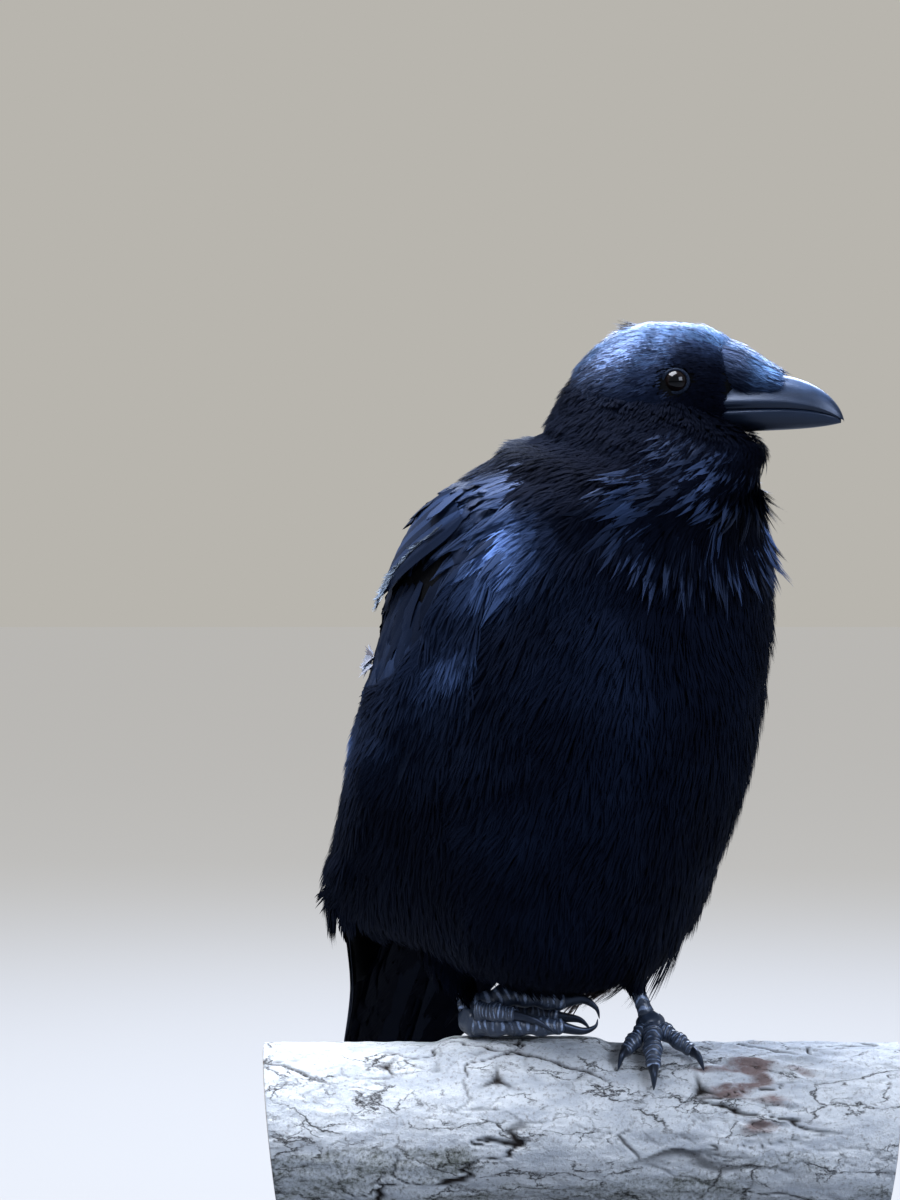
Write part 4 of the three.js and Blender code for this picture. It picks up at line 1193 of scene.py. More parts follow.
class RAVEN_OT_head_feathers(bpy.types.Operator):
    """Covers the head with fine short feathers, and the bill's root with bristles"""

    bl_idname = "raven.head_feathers"
    bl_label = "Head feathers"

    BARE_RING = 6.9
    CLEAR_RING = 7.1
    CROWN_ENDS = 0.26
    BROW_ENDS = 0.5

    def off_eyes(self, places):
        """How far places lie from the axis of the eye on their own side of the head."""
        nearest = np.full(len(places), 1e3)
        for side in SIDES.values():
            centre, look_way, _, _ = eye_axes(side)
            offset = places - centre
            aside = np.linalg.norm(offset - look_way * dot(offset, look_way), axis=-1)
            nearest = np.minimum(nearest, np.where(offset @ look_way > -4, aside, 1e3))
        return nearest

    def execute(self, context):
        rng = np.random.default_rng(12)
        look = context.scene.raven_plumage
        loose, glossy, _, sleek = plumage_materials(context)
        pitch = (HEAD_PITCH[0], np.array(HEAD_PITCH[1]) / math.sqrt(look.density))
        u, v, _ = staggered_rows(head_coat_surface, (0.03, 0.99), pitch, rng)
        u = np.clip(u, 0.02, 0.995)
        place_of = head_surface(u, v)
        nearest = self.off_eyes(place_of)
        keep = nearest > self.BARE_RING
        u, v, nearest, place_of = u[keep], v[keep], nearest[keep], place_of[keep]
        low = ramp(1 - np.cos(v), 2)
        pull = np.stack([0 * low, 0 * low, -0.75 * low * (1 - 0.5 * u)], -1)
        lean = 0.10 * ripples(place_of, 22, 31) + rng.normal(0, 0.08, len(u))
        roots = frames_at(head_coat_surface, u, v, way=-1, lean=lean, pull=pull)
        length = np.interp(u, *HEAD_LENGTH) * rng.uniform(0.8, 1.15, len(u)) * look.stretch
        length = length * np.clip((nearest - 4.5) / 9, 0.3, 1)
        clear = np.ones(len(u), bool)
        for share in (0.5, 1.0):
            clear &= self.off_eyes(place_of + roots["ahead"] * (length * share)[:, None]) >= self.CLEAR_RING
        crest = bell((u - 0.41) / 0.035) * bell(signed_angle(v) / 0.16)
        rise = np.interp(u, *HEAD_DEPTH) + 0.35 * ripples(place_of, 12, 32) + rng.exponential(0.15, len(u))
        forward, _, _ = head_axes()
        before_eye = dot(place_of - eye_axes(-1)[0], forward)[:, 0]
        lores = ramp(before_eye + 3, 12) * ramp(low - 0.08, 0.24)
        # Painted sheen, a painted reflection of the sky: brightest on the crown's top, fading down the
        # sides, over the lores, close to the eyes, on the crest and towards the nape, and streaked by sky.
        # The crown's brighter colour is painted sheen too.
        sky = 1 + 0.35 * ripples(place_of * np.array([1.0, 1.0, 3.0]), 9, 33)
        gloss_and_sheen = np.interp(low, [0.0, 0.04, 0.1, 0.2, 0.5, 1.0], [3.7, 3.5, 2.2, 1.1, 0.5, 0.35])
        gloss_and_sheen = gloss_and_sheen * (1 - 0.9 * lores) * sky
        gloss_and_sheen = gloss_and_sheen * np.clip((nearest - 5) / 7, 0.1, 1) * np.interp(u, [0.6, 0.85], [1.0, 1.35])
        gloss_and_sheen = gloss_and_sheen * (1 - 0.85 * np.minimum(crest * 1.5, 1)) * np.interp(u, [0.05, 0.45], [0.25, 1.0])
        shapes = [strand_tuft(rng, 6, 0.17, 0.04) for _ in range(8)]
        rise = rise + 7.0 * crest
        nape = ramp(0.3 - u, 0.25)
        dull = low + 0.8 * lores + 0.4 * nape + rng.normal(0, 0.1, len(u)) + crest
        crown, face = dull < self.CROWN_ENDS, dull >= self.BROW_ENDS
        for name, mine, material in (("crown_feathers", clear & crown, sleek),
                                     ("brow_feathers", clear & ~crown & ~face, glossy),
                                     ("face_feathers", clear & face, loose)):
            feathers = grow(unwrapped(picked(roots, mine)), shapes, length[mine], rng, sink=0.4,
                            rise=rise[mine], roll=0.1, gloss_and_sheen=gloss_and_sheen[mine])
            place_feathers(name, feathers, material, soft=0.5)
        self.bristles(look, sleek)
        return {"FINISHED"}

    def bristles(self, look, material):
        """Stiff bristles that lie forward over the bill's root and the nostrils."""
        rng = np.random.default_rng(13)

        def surface(u, v, grow_by=0.0):
            return bristle_surface(u, v, grow_by - 1.6)

        pitch = ([0, 1], [1.35 / math.sqrt(look.density)] * 2)
        u, v, _ = staggered_rows(surface, (-0.16, 0.93), pitch, rng)
        keep = np.cos(v) > -0.75
        u, v = np.clip(u[keep], -0.2, 0.95), v[keep]
        low = ramp(1 - np.cos(v), 2)
        lean = rng.normal(0, 0.1, len(u)) - 0.25 * np.sin(signed_angle(v)) * low
        roots = frames_at(surface, u, v, way=1, lean=lean)
        length = np.interp(u, [0, 0.5, 1], [15, 15, 8]) * rng.uniform(0.75, 1.1, len(u))
        shapes = [strand_tuft(rng, 4, 0.1, 0.024) for _ in range(6)]
        # Painted sheen on the bristles: brightest on the pad's top, and the pad's rear flanks painted
        # darker, a painted shade.
        gloss_and_sheen = np.interp(low, [0.0, 0.06, 0.3, 0.6], [4.2, 3.6, 3.0, 0.8]) * rng.uniform(0.2, 1.8, len(u))
        gloss_and_sheen = gloss_and_sheen * (1 - ramp(low - 0.05, 0.08) * np.clip((0.42 - u) / 0.34, 0, 0.96))
        feathers = grow(unwrapped(roots), shapes, length, rng, sink=0.3,
                        rise=1.3 + rng.exponential(0.35, len(u)), curl=-0.02, roll=0.15, gloss_and_sheen=gloss_and_sheen)
        place_feathers("bill_bristles", feathers, material, soft=0.4)


class RAVEN_OT_hackles(bpy.types.Operator):
    """Hangs pointed, glossy hackles on the throat and upper breast"""

    bl_idname = "raven.hackles"
    bl_label = "Throat hackles"

    def execute(self, context):
        rng = np.random.default_rng(14)
        look = context.scene.raven_plumage
        glossy = plumage_materials(context)[1]
        pitch = ([0.46, 0.6, 0.82], [6.4, 5.2, 4.0])
        u, v, _ = staggered_rows(body_coat_surface, (0.465, 0.8), pitch, rng)
        angle = signed_angle(v)
        edge = np.where(angle < 0, np.interp(u, [0.48, 0.56, 0.8], [0.5, 0.95, 1.35]),
                        np.interp(u, [0.46, 0.56, 0.8], [1.2, 1.35, 1.5]))
        keep = np.abs(angle) < edge
        u, v, angle = u[keep], v[keep], angle[keep]
        lean = 0.3 * np.sin(angle) + rng.normal(0, 0.12, len(u))
        roots = frames_at(body_coat_surface, u, v, way=-1, lean=lean)
        length = np.interp(u, [0.48, 0.6, 0.8], [33, 30, 19]) * rng.uniform(0.85, 1.15, len(u))
        depth = np.interp(u, *BODY_DEPTH)
        shapes = [lance_feather(rng) for _ in range(8)]
        locks = ripples(body_coat_surface(u, v), 26, 26)
        # Painted sheen in locks: painted darker on the bird's right side, a painted shade, and much brighter
        # low on the front of the throat, a painted highlight.
        gloss_and_sheen = np.interp(u, [0.48, 0.53, 0.6, 0.75], [0.35, 0.9, 1.8, 1.3])
        gloss_and_sheen = gloss_and_sheen * np.maximum(1 + 0.9 * locks, 0.1)
        gloss_and_sheen = gloss_and_sheen * np.interp(angle, [-1.2, -0.7, -0.3], [0.3, 0.7, 1.0])
        throat = np.clip(angle / 0.3, 0, 1) * np.clip((1.0 - angle) / 0.3, 0.2, 1)
        gloss_and_sheen = gloss_and_sheen * (1 + 6.0 * ramp(0.58 - u, 0.06) * throat)
        rise = depth + 1.4 + 1.2 * np.maximum(locks, 0) + rng.exponential(0.4, len(u))
        feathers = grow(unwrapped(roots), shapes, length * look.stretch, rng, sink=0.5, rise=rise, roll=0.14,
                        hang=0.03, gloss_and_sheen=gloss_and_sheen)
        place_feathers("throat_hackles", feathers, glossy, soft=0.5)
        return {"FINISHED"}


FLIGHT_SHAPE_STATIONS = 40


def flight_outline(rows, point=0.5, neck=0.35):
    """Half width along a flight feather: it opens quickly, runs parallel and closes rounded."""
    a = np.linspace(0, 1, rows)
    rising = neck + (1 - neck) * np.sin(math.pi / 2 * np.minimum(a / 0.3, 1))
    return rising * np.clip(1 - (np.maximum(a - 0.78, 0) / 0.22) ** 2.2, 0, 1) ** point + 0.02


def laid_on(surface, u_from, u_to, v_from, v_to, lift, rows=FLIGHT_SHAPE_STATIONS):
    """Middle lines of long feathers on a surface, and the surface's outward direction there."""
    a = np.linspace(0, 1, rows)[None, :]
    u = u_from[:, None] + (u_to - u_from)[:, None] * a
    v = v_from[:, None] + (v_to - v_from)[:, None] * a ** 1.3
    centre = surface(u, v, lift[:, None])
    out_way = unit(surface(u, v, lift[:, None] + 2.0) - centre)
    return centre, out_way


class RAVEN_OT_mantle(bpy.types.Operator):
    """Lays long rounded glossy feathers over the upper back and shoulders"""

    bl_idname = "raven.mantle"
    bl_label = "Mantle"

    def execute(self, context):
        rng = np.random.default_rng(20)
        look = context.scene.raven_plumage
        glossy = plumage_materials(context)[1]
        u, v, _ = staggered_rows(body_coat_surface, (0.41, 0.61), ([0.41, 0.6], [9.0, 6.5]), rng, jitter=0.3)
        angle = signed_angle(v)
        keep = np.abs(angle) > np.interp(u, [0.41, 0.47, 0.53, 0.6], [1.4, 1.1, 1.4, 1.9])
        u, v, angle = u[keep], v[keep], angle[keep]
        lean = 0.35 * np.sin(angle) + rng.normal(0, 0.08, len(u))
        pull = np.array([0, 0, -0.9]) * np.ones((len(u), 1))
        roots = frames_at(body_coat_surface, u, v, way=-1, lean=lean, pull=pull)
        length = np.interp(u, [0.41, 0.53, 0.6], [48, 38, 25]) * rng.uniform(0.9, 1.1, len(u)) * look.stretch
        shapes = [lance_feather(rng, 19, 0.17, 0.0125) for _ in range(6)]
        rise = np.interp(u, *BODY_DEPTH) + 2.0 + 1.2 * ripples(body_coat_surface(u, v), 34, 27)
        rise = rise * np.interp(u, [0.55, 0.6], [1.0, 0.4]) + rng.exponential(0.5, len(u))
        # Painted sheen: brighter at the shoulders than towards the neck and the back's middle, halved on the
        # left side, and dim on the strip between the wings.
        gloss_and_sheen = rng.uniform(1.0, 4.0, len(u)) * np.interp(u, [0.41, 0.55, 0.6], [1.0, 0.9, 0.3])
        feathers = grow(unwrapped(roots), shapes, length, rng, sink=0.5, rise=rise, roll=0.14,
                        gloss_and_sheen=gloss_and_sheen * np.interp(np.abs(angle), [1.0, 1.2, 2.0, 2.4], [1.0, 1.2, 0.9, 0.25])
                        * np.where(angle > 0, 0.5, 1.0))

        def between(u, c, grow_by=0.0):
            """The narrow strip of back between the two folded wings."""
            u, c = np.broadcast_arrays(u, c)
            row = spline(WING, u * (len(WING) - 1))
            turn = math.pi + 0.30 * c
            reach = row[..., 6] * 0.5 + grow_by - 1.5
            along = row[..., 1] + (row[..., 2] + reach) * np.cos(turn)
            return standing(along, (row[..., 3] + reach) * np.sin(turn), row[..., 0])

        u, c, _ = staggered_rows(between, (0.10, 0.60), ([0, 1], [10.0, 10.5]), rng, around=(-1.0, 1.0),
                                 jitter=0.15)
        roots = frames_at(between, u, c, way=1, lean=rng.normal(0, 0.06, len(u)))
        roots["v"] = (roots["v"] + 1) / 2
        length = rng.uniform(38, 46, len(u)) * look.stretch
        shapes = [lance_feather(rng, 15, 0.15, 0.012) for _ in range(6)]
        lower = grow(unwrapped(roots, 1.001), shapes, length, rng, sink=2.0, rise=2.5, roll=0.08,
                     gloss_and_sheen=rng.uniform(0.15, 0.5, len(u)))
        place_feathers("mantle_feathers", merged([feathers, lower]), glossy, soft=0.4)
        return {"FINISHED"}


# Ground of the flank feathers, from its upper edge down: body place and degrees from the breast,
# folded wing place at its breast edge, and place and share of the width where the ground ends
FLANK = np.array([
    (0.455, 74, 0.250, 0.255, 0.13),
    (0.415, 76, 0.330, 0.350, 0.15),
    (0.373, 78, 0.400, 0.440, 0.50),
    (0.330, 81, 0.470, 0.508, 0.54),
    (0.270, 84, 0.530, 0.555, 0.50),
    (0.200, 88, 0.595, 0.605, 0.44),
    (0.130, 92, 0.640, 0.645, 0.38),
    (0.060, 100, 0.670, 0.672, 0.32),
])


def flank_surface(side, out=0.0):
    """The ground of the fluffed flank: from the belly over the gap to the folded wing's front
    edge, and on over the wing."""
    outer = wing_surface(side, out)

    def surface(u, t, grow=0.0):
        u, t = np.broadcast_arrays(u, t)
        row = spline(FLANK, u * (len(FLANK) - 1))
        proud = grow + np.interp(u, [0.3, 0.7], [3.2, 5.5])
        near = body_surface(row[..., 0], side * np.radians(row[..., 1]), out + grow)
        edge = outer(row[..., 2], 0.1 + 0 * t, proud)
        far = outer(row[..., 2] + (row[..., 3] - row[..., 2]) * np.maximum(t - 0.4, 0) / 0.6,
                    0.1 + (row[..., 4] - 0.1) * np.maximum(t - 0.4, 0) / 0.6, proud)
        share = np.minimum(t / 0.4, 1)[..., None]
        return np.where(t[..., None] < 0.4, near + (edge - near) * share, far)
    return surface


class RAVEN_OT_wings(bpy.types.Operator):
    """Lays primaries, secondaries, tertials, coverts and scapulars on both folded wings"""

    bl_idname = "raven.wings"
    bl_label = "Wings"

    def execute(self, context):
        materials = plumage_materials(context)
        for name, side in SIDES.items():
            self.flight_feathers(name, side, materials[2])
            self.coverts(name, side, materials, context.scene.raven_plumage)
            self.flank_cover(name, side, materials[0], context.scene.raven_plumage)
        return {"FINISHED"}

    def flight_feathers(self, name, side, material):
        """Primaries lowest and furthest down, secondaries over them, tertials on top at the
        back. Each rank lies further out than the one before it."""
        rng = np.random.default_rng(15)
        surface = wing_surface(side, -SINK)
        sets = []
        for number, u_from, u_to, v_from, v_to, low, high, half in (
            (10, (0.42, 0.42), (0.86, 1.0), (0.14, 0.84), (0.16, 0.80), -1.0, 1.0, 9.0),
            (10, (0.30, 0.30), (0.68, 0.80), (0.06, 0.80), (0.08, 0.86), 0.4, 2.4, 12.5),
            (4, (0.24, 0.26), (0.64, 0.56), (0.80, 0.95), (0.80, 0.92), 2.6, 3.8, 14.0),
        ):
            share = np.linspace(0, 1, number)
            lengths = [ends[0] + (ends[1] - ends[0]) * share for ends in (u_from, u_to, v_from, v_to)]
            lengths[1] = lengths[1] + rng.normal(0, 0.006, number)
            lift = low + (high - low) * share
            centre, out_way = laid_on(surface, *lengths, lift)
            gloss_and_sheen = rng.uniform(0.1, 0.5, number)
            sets.append(quills(centre, out_way, np.full(number, half), flight_outline(FLIGHT_SHAPE_STATIONS),
                               rng.uniform(0.1, 0.9, number), gloss_and_sheen, camber=0.09))
        place_feathers(f"flight_feathers_{name}", merged(sets), material, f"wing_{name}",
                       slot="flight_feathers")

    def coverts(self, name, side, materials, look):
        """Rows of round glossy feathers, small at the shoulder and longer down the wing, and
        the large scapulars that lie over the wing's upper edge."""
        rng = np.random.default_rng(16)
        rows = (
            ((0.02, 0.24), ([0, 0.3], [6.5, 8.0]), (0.03, 0.97), -0.2, (22, 27), 0.24, 1.6),
            ((0.20, 0.34), ([0.2, 0.4], [8.5, 9.0]), (0.04, 0.96), 0.6, (40, 52), 0.12, 3.4),
            ((0.03, 0.20), ([0, 0.3], [9.5, 11.0]), (0.28, 0.95), 1.2, (40, 50), 0.2, 2.4),
        )
        small, great = [], []
        for span, pitch, around, out, (short, long), half, rise in rows:
            surface = wing_surface(side, out - SINK)
            u, w, _ = staggered_rows(surface, span, pitch, rng, around=around, jitter=0.12)
            u, w = np.clip(u, 0.005, 0.99), np.clip(w, 0.01, 0.99)
            hollow = (side < 0) & (u > 0.14) & (u < 0.245) & (w > 0.1) & (w < 0.44)
            u, w = u[~hollow], w[~hollow]
            lean = rng.normal(0, 0.07, len(u)) + side * 0.12
            # Painted sheen: bright near the shoulder and at the lower rows' lower end, dim between them and
            # towards the wing's back edge.
            gloss_and_sheen = rng.uniform(0.2, 0.8, len(u))
            gloss_and_sheen = gloss_and_sheen * np.interp(u, [0.0, 0.12, 0.19, 0.26, 0.34], [3.5, 2.5, 0.5, 1.0, 3.4])
            gloss_and_sheen = gloss_and_sheen * np.interp(w, [0.4, 0.7], [1.0, 0.2])
            roots = frames_at(surface, u, w, way=1, lean=lean)
            shapes = [vane_feather(rng, half, 11) for _ in range(5)]
            length = rng.uniform(short, long, len(u)) * look.stretch
            grown = grow(unwrapped(roots, 1.0), shapes, length, rng, sink=1.2, rise=rise, roll=0.09,
                         gloss_and_sheen=gloss_and_sheen)
            (great if half < 0.15 else small).append(grown)
        if side < 0:
            small.append(self.displaced(surface))
        place_feathers(f"wing_coverts_{name}", merged(small), materials[1], slot="flight_feathers")
        place_feathers(f"great_coverts_{name}", merged(great), materials[2], slot="flight_feathers")

    def displaced(self, surface):
        """Scapulars of the right wing that stand out of place over a dark hollow."""
        rows = FLIGHT_SHAPE_STATIONS
        share = np.linspace(0, 1, 7)
        centre, out_way = laid_on(surface, 0.098 + 0.052 * share, 0.195 + 0.073 * share, 0.33 - 0.22 * share,
                                  0.64 - 0.15 * share, 1.0 + 2.4 * share, rows)
        a = np.linspace(0, 1, rows)[None, :, None]
        centre = centre + out_way * 3.2 * np.sin(math.pi * 0.7 * a)
        # Their high sheen values are a painted highlight on the raised scapulars.
        return quills(centre, out_way, 5.2 - 1.4 * share ** 2, flight_outline(rows, point=0.9),
                      np.array([0.3, 0.8, 0.4, 0.7, 0.2, 0.9, 0.5]),
                      np.array([2.0, 3.2, 1.6, 2.8, 1.4, 2.0, 1.0]), camber=0.3)

    def flank_cover(self, name, side, material, look):
        """Fluffed flank feathers that spread over the front of the folded wing. They end at a
        slanting upper edge, which stands a little proud."""
        rng = np.random.default_rng(17)
        surface = flank_surface(side, -4.0)
        u, t, _ = staggered_rows(surface, (0.0, 1.0), ([0, 1], [5.2, 5.4]), rng, around=(0.0, 1.0))
        u, t = np.clip(u, 0.0, 1.0), np.clip(t, 0.0, 1.0)
        ragged = t < 1.0 - 0.06 * np.abs(rng.normal(size=len(u)))
        u, t = u[ragged], t[ragged]
        start = surface(u, t)
        lean = 0.14 * ripples(start, 36, 23) + rng.normal(0, 0.08, len(u))
        roots = frames_at(surface, u, t, way=1, lean=lean)
        rise = np.interp(t, [0.4, 1.0], [4.2, 3.0]) + 0.8 * ripples(start, 30, 24)
        rise = rise + rng.exponential(0.4, len(u))
        length = rng.uniform(28, 38, len(u)) * look.stretch
        high, low = flank_surface(side)(np.array([0.27, 0.36]), np.array([0.0, 0.9]))
        seen = start + roots["ahead"] * 0.6 * length[:, None]
        along = np.clip((seen - high) @ (low - high) / np.sum((low - high) ** 2), 0, 1)
        aside = np.linalg.norm(seen - high - along[:, None] * (low - high), axis=-1)
        # A painted sheen streak down the flank, stronger on the right, and the shoulder's painted highlight
        # added to it.
        sheen_streak = bell(aside / 7.0) * np.interp(along, [0.0, 0.3, 0.9, 1.0], [0.3, 0.9, 1.5, 0.6])
        sheen_streak = sheen_streak * (1.0 if side < 0 else 0.35)
        gloss_and_sheen = np.interp(u, [0.0, 0.3, 0.5], [0.8, 0.6, 0.2]) + 5.5 * sheen_streak * rng.uniform(0.3, 1.4, len(u))
        gloss_and_sheen = gloss_and_sheen + shoulder_sheen(seen)
        shapes = [loose_feather(rng, pairs=9, half=0.18, strand=0.017) for _ in range(8)]
        feathers = grow(unwrapped(roots, 1.0001), shapes, length, rng, sink=0.6, rise=rise, roll=0.09,
                        gloss_and_sheen=gloss_and_sheen)
        place_feathers(f"flank_cover_{name}", feathers, material)


class RAVEN_OT_tail(bpy.types.Operator):
    """Stacks twelve tail feathers, the middle pair on top, and covers their roots"""

    bl_idname = "raven.tail"
    bl_label = "Tail"

    def execute(self, context):
        rng = np.random.default_rng(18)
        loose, glossy, stiff, _ = plumage_materials(context)
        look = context.scene.raven_plumage
        number = 12
        share = np.linspace(-1, 1, number)
        surface = tail_surface(1, -2.0)
        lift = 2.4 - 4.4 * np.abs(share)
        centre, out_way = laid_on(surface, np.full(number, 0.04), 1 - 0.02 * np.abs(share), 0.5 * share,
                                  0.62 * share, lift)
        outline = flight_outline(FLIGHT_SHAPE_STATIONS, neck=0.55)
        feathers = quills(centre, out_way, np.full(number, 14.0), outline, rng.uniform(0.3, 0.7, number),
                          np.full(number, 0.18), camber=0.05)
        place_feathers("tail_feathers", feathers, stiff, "tail", slot="flight_feathers")
        shapes = [vane_feather(rng, 0.26, 10, point=0.55) for _ in range(5)]
        for name, face, material, reach in (("upper_tail_coverts", 1, glossy, 0.42),
                                            ("under_tail_coverts", -1, loose, 0.6)):
            surface = tail_surface(face, -0.6)
            u, c, _ = staggered_rows(surface, (0.02, reach), ([0, 1], [8.0, 8.5]), rng, around=(-0.98, 0.98))
            roots = frames_at(surface, np.clip(u, 0.002, 1), np.clip(c, -1, 1), way=1,
                              lean=rng.normal(0, 0.06, len(u)))
            length = rng.uniform(36, 50, len(u)) * look.stretch
            rise = 2.5 + rng.exponential(0.5, len(u))
            roots["v"] = (roots["v"] + 1) / 2
            placed = grow(unwrapped(roots, 1.001), shapes, length, rng, sink=1.0, rise=rise, roll=0.08,
                          gloss_and_sheen=0.25 if face > 0 else 0.05)
            place_feathers(name, placed, material)
        return {"FINISHED"}


class RAVEN_OT_worn(bpy.types.Operator):
    """Adds the plumage's worn bits: a tuft of pale down that has worked out at the right wing's
    edge and bleached brown strands that hang between the legs. It also adds a painted
    highlight: a pale rim of fine strands along the displaced scapulars."""

    bl_idname = "raven.worn"
    bl_label = "Worn bits"

    def execute(self, context):
        rng = np.random.default_rng(28)
        look = context.scene.raven_plumage
        material = feather_material("Bleached worn barbs", look.worn, look.down, look.gloss_and_sheen, 0.7, 0.2, 60.0)
        wing = wing_surface(-1)
        number = 16
        u, w = 0.352 + rng.normal(0, 0.006, number), 0.50 + rng.normal(0, 0.025, number)
        roots = frames_at(wing, u, w, way=1, lean=rng.normal(-0.9, 0.45, number))
        shapes = [strand_tuft(rng, 7, 0.35, 0.06) for _ in range(4)]
        down = grow(roots, shapes, rng.uniform(7, 12, number), rng, sink=0.0, rise=4.5, roll=0.5,
                    gloss_and_sheen=rng.uniform(0.4, 0.8, number))
        number = 16
        u, v = rng.uniform(0.03, 0.075, number), rng.uniform(0.0, 0.5, number)
        roots = frames_at(body_coat_surface, u, v, way=-1, lean=rng.normal(0, 0.15, number))
        shapes = [loose_feather(rng, pairs=7, half=0.1, strand=0.012) for _ in range(4)]
        strands = grow(unwrapped(roots), shapes, rng.uniform(26, 36, number), rng, sink=0.0, rise=6.0,
                       roll=0.2, hang=rng.uniform(0.3, 0.6, number), gloss_and_sheen=rng.uniform(0.0, 0.15, number))
        # A painted highlight: a pale rim of fine strands along the displaced scapulars' edge.
        number = 110
        along = rng.uniform(0, 1, number) ** 0.5
        broad = np.interp(along, [0.4, 0.75, 1.0], [0.2, 1.0, 0.6])
        u = 0.158 + 0.12 * along + rng.normal(0, 0.004, number) * broad
        w = 0.13 + 0.36 * along ** 0.9 + rng.normal(0, 0.012, number) * broad
        roots = frames_at(wing, u, w, way=1, lean=rng.normal(-0.75, 0.12 + 0.1 * broad))
        shapes = [strand_tuft(rng, 6, 0.07, 0.018) for _ in range(5)]
        rim = grow(roots, shapes, rng.uniform(9, 14, number) * (0.7 + 0.3 * broad), rng, sink=-4.5,
                   rise=5.5 + rng.normal(0, 0.5, number), roll=0.3,
                   gloss_and_sheen=rng.uniform(0.02, 0.6, number) * (0.35 + broad))
        place_feathers("worn_barbs", merged([down, strands]), material, soft=0.3)
        # The rim's pale colour is a painted highlight.
        pale = feather_material("Pale painted highlight barbs", look.dark, look.down, look.gloss_and_sheen, 0.6, 0.2, 60.0)
        place_feathers("painted_highlight_rim", rim, pale, soft=0.3)
        return {"FINISHED"}


class RAVEN_OT_thighs(bpy.types.Operator):
    """Clothes the lower thighs in short hanging feathers"""

    bl_idname = "raven.thighs"
    bl_label = "Thigh feathers"

    def execute(self, context):
        look = context.scene.raven_plumage
        loose = plumage_materials(context)[0]
        for name in SIDES:
            rng = np.random.default_rng(19)
            outer = thigh_surface(name)

            def surface(u, v, grow_by=0.0, outer=outer):
                return outer(u, v, grow_by - 3.5)

            u, v, _ = staggered_rows(surface, (0.3, 0.97), ([0, 1], [4.4, 3.2]), rng)
            u = np.clip(u, 0.01, 0.985)
            roots = frames_at(surface, u, v, way=1, lean=rng.normal(0, 0.12, len(u)))
            length = np.interp(u, [0.3, 1], [26, 13 if name == "left" else 24])
            length = length * rng.uniform(0.8, 1.15, len(u)) * look.stretch
            shapes = [loose_feather(rng, pairs=7, half=0.2, strand=0.025) for _ in range(6)]
            feathers = grow(unwrapped(roots), shapes, length, rng, sink=0.5, rise=2.6, roll=0.1, hang=0.08,
                            gloss_and_sheen=0.1)
            place_feathers(f"thigh_feathers_{name}", feathers, loose)
        return {"FINISHED"}


def gape_height(u):
    """How high the cutting edges run: level, slightly raised, then dropping to the hook."""
    return BILL_GAPE - 5.6 * u ** 6 + 0.8 * np.sin(math.pi * u)


def bill_half(upper):
    """One half of the bill. At each place along it the section goes from the outer line (ridge
    or keel) over the flank to the cutting edge, and then across the inner face, which is nearly
    flat. The upper half has a raised rib above its cutting edge and a shallow hollow before
    the nostril."""
    t = np.linspace(0, 1, 120)[:, None]
    u = 1 - (1 - t) ** 1.7
    v = circle(72)
    if upper:
        along = BILL_ROOT + (BILL_TIP - BILL_ROOT) * u
        outer = BILL_TIP_HEIGHT + (BILL_RIDGE - BILL_TIP_HEIGHT) * (1 - u ** 3.2) ** 0.62
        half = BILL_HALF * (1 - 0.2 * u) * (1 - u ** 2.6) ** 0.6 + 0.5
        edge = gape_height(u)
    else:
        along = BILL_ROOT + (BILL_TIP - BILL_OVERHANG / 2 - BILL_ROOT) * u
        outer = BILL_KEEL + 2.2 * u + 2.6 * u ** 5
        half = (BILL_HALF - 1.2) * (1 - 0.25 * u) * (1 - u ** 2.8) ** 0.6 + 0.3
        edge = gape_height((along - BILL_ROOT) / (BILL_TIP - BILL_ROOT)) - 0.1
    turn = np.abs(signed_angle(v)) / (0.8 * math.pi)
    flank = np.minimum(turn, 1)
    inner = np.maximum(turn - 1, 0) * 4
    arch = np.cos(math.pi / 2 * flank) ** 1.15
    wide = np.sin(math.pi / 2 * flank) ** 0.82 * (1 - 0.10 * bell((flank - 0.97) / 0.06))
    fade = 1 - u ** 4
    rib = 0.55 * bell((flank - 0.86) / 0.07) * fade * (1 if upper else 0.4)
    hollow = 0.9 * np.exp(-((flank - 0.66) / 0.15) ** 2 - ((u - 0.3) / 0.35) ** 2) * upper
    lines = 0.06 * np.sin(24 * flank + 6 * u) * fade * (flank < 1)
    side = (half * wide * (1 - inner) + (rib - hollow + lines) * (flank < 1)) * np.sign(np.sin(v) + 1e-12)
    level = edge + (outer - edge) * arch + np.where(inner > 0, 0.5 * inner * (1 if upper else 1.4), 0)
    height = np.broadcast_to((level - edge) / (BILL_RIDGE - BILL_GAPE), side.shape)
    # Painted highlight along the upper half's ridge; the lower half is painted darker, most of all low down,
    # a painted shade.
    if upper:
        lightness_and_sheen = 0.04 + 0.15 * height + 1.4 * np.clip(height / (1 - 0.6 * u ** 3), 0, 1) ** 5
    else:
        lightness_and_sheen = np.clip(0.12 + 0.27 * height, 0.01, 1)
    shell = closed_shell(turned(along + 0 * v, side, level, HEAD_TURN))
    return outward(shell), np.concatenate([lightness_and_sheen.ravel(), [0.15, 0.15]])


class RAVEN_OT_bill(bpy.types.Operator):
    """Makes the heavy arched bill, both halves with their cutting edges and the hooked tip"""

    bl_idname = "raven.bill"
    bl_label = "Bill"

    def execute(self, context):
        colours = context.scene.raven_bare
        material = horn_material("Polished slate horn", colours.horn_dark, colours.horn_light, 0.4, 0.45)
        for name, upper in (("upper_bill", True), ("lower_bill", False)):
            shell, lightness_and_sheen = bill_half(upper)
            mesh = make_mesh(f"{name}_horn", *shell)
            add_value(mesh, "lightness_and_sheen", lightness_and_sheen)
            place(mesh, material, "bill_horn", name)
        return {"FINISHED"}


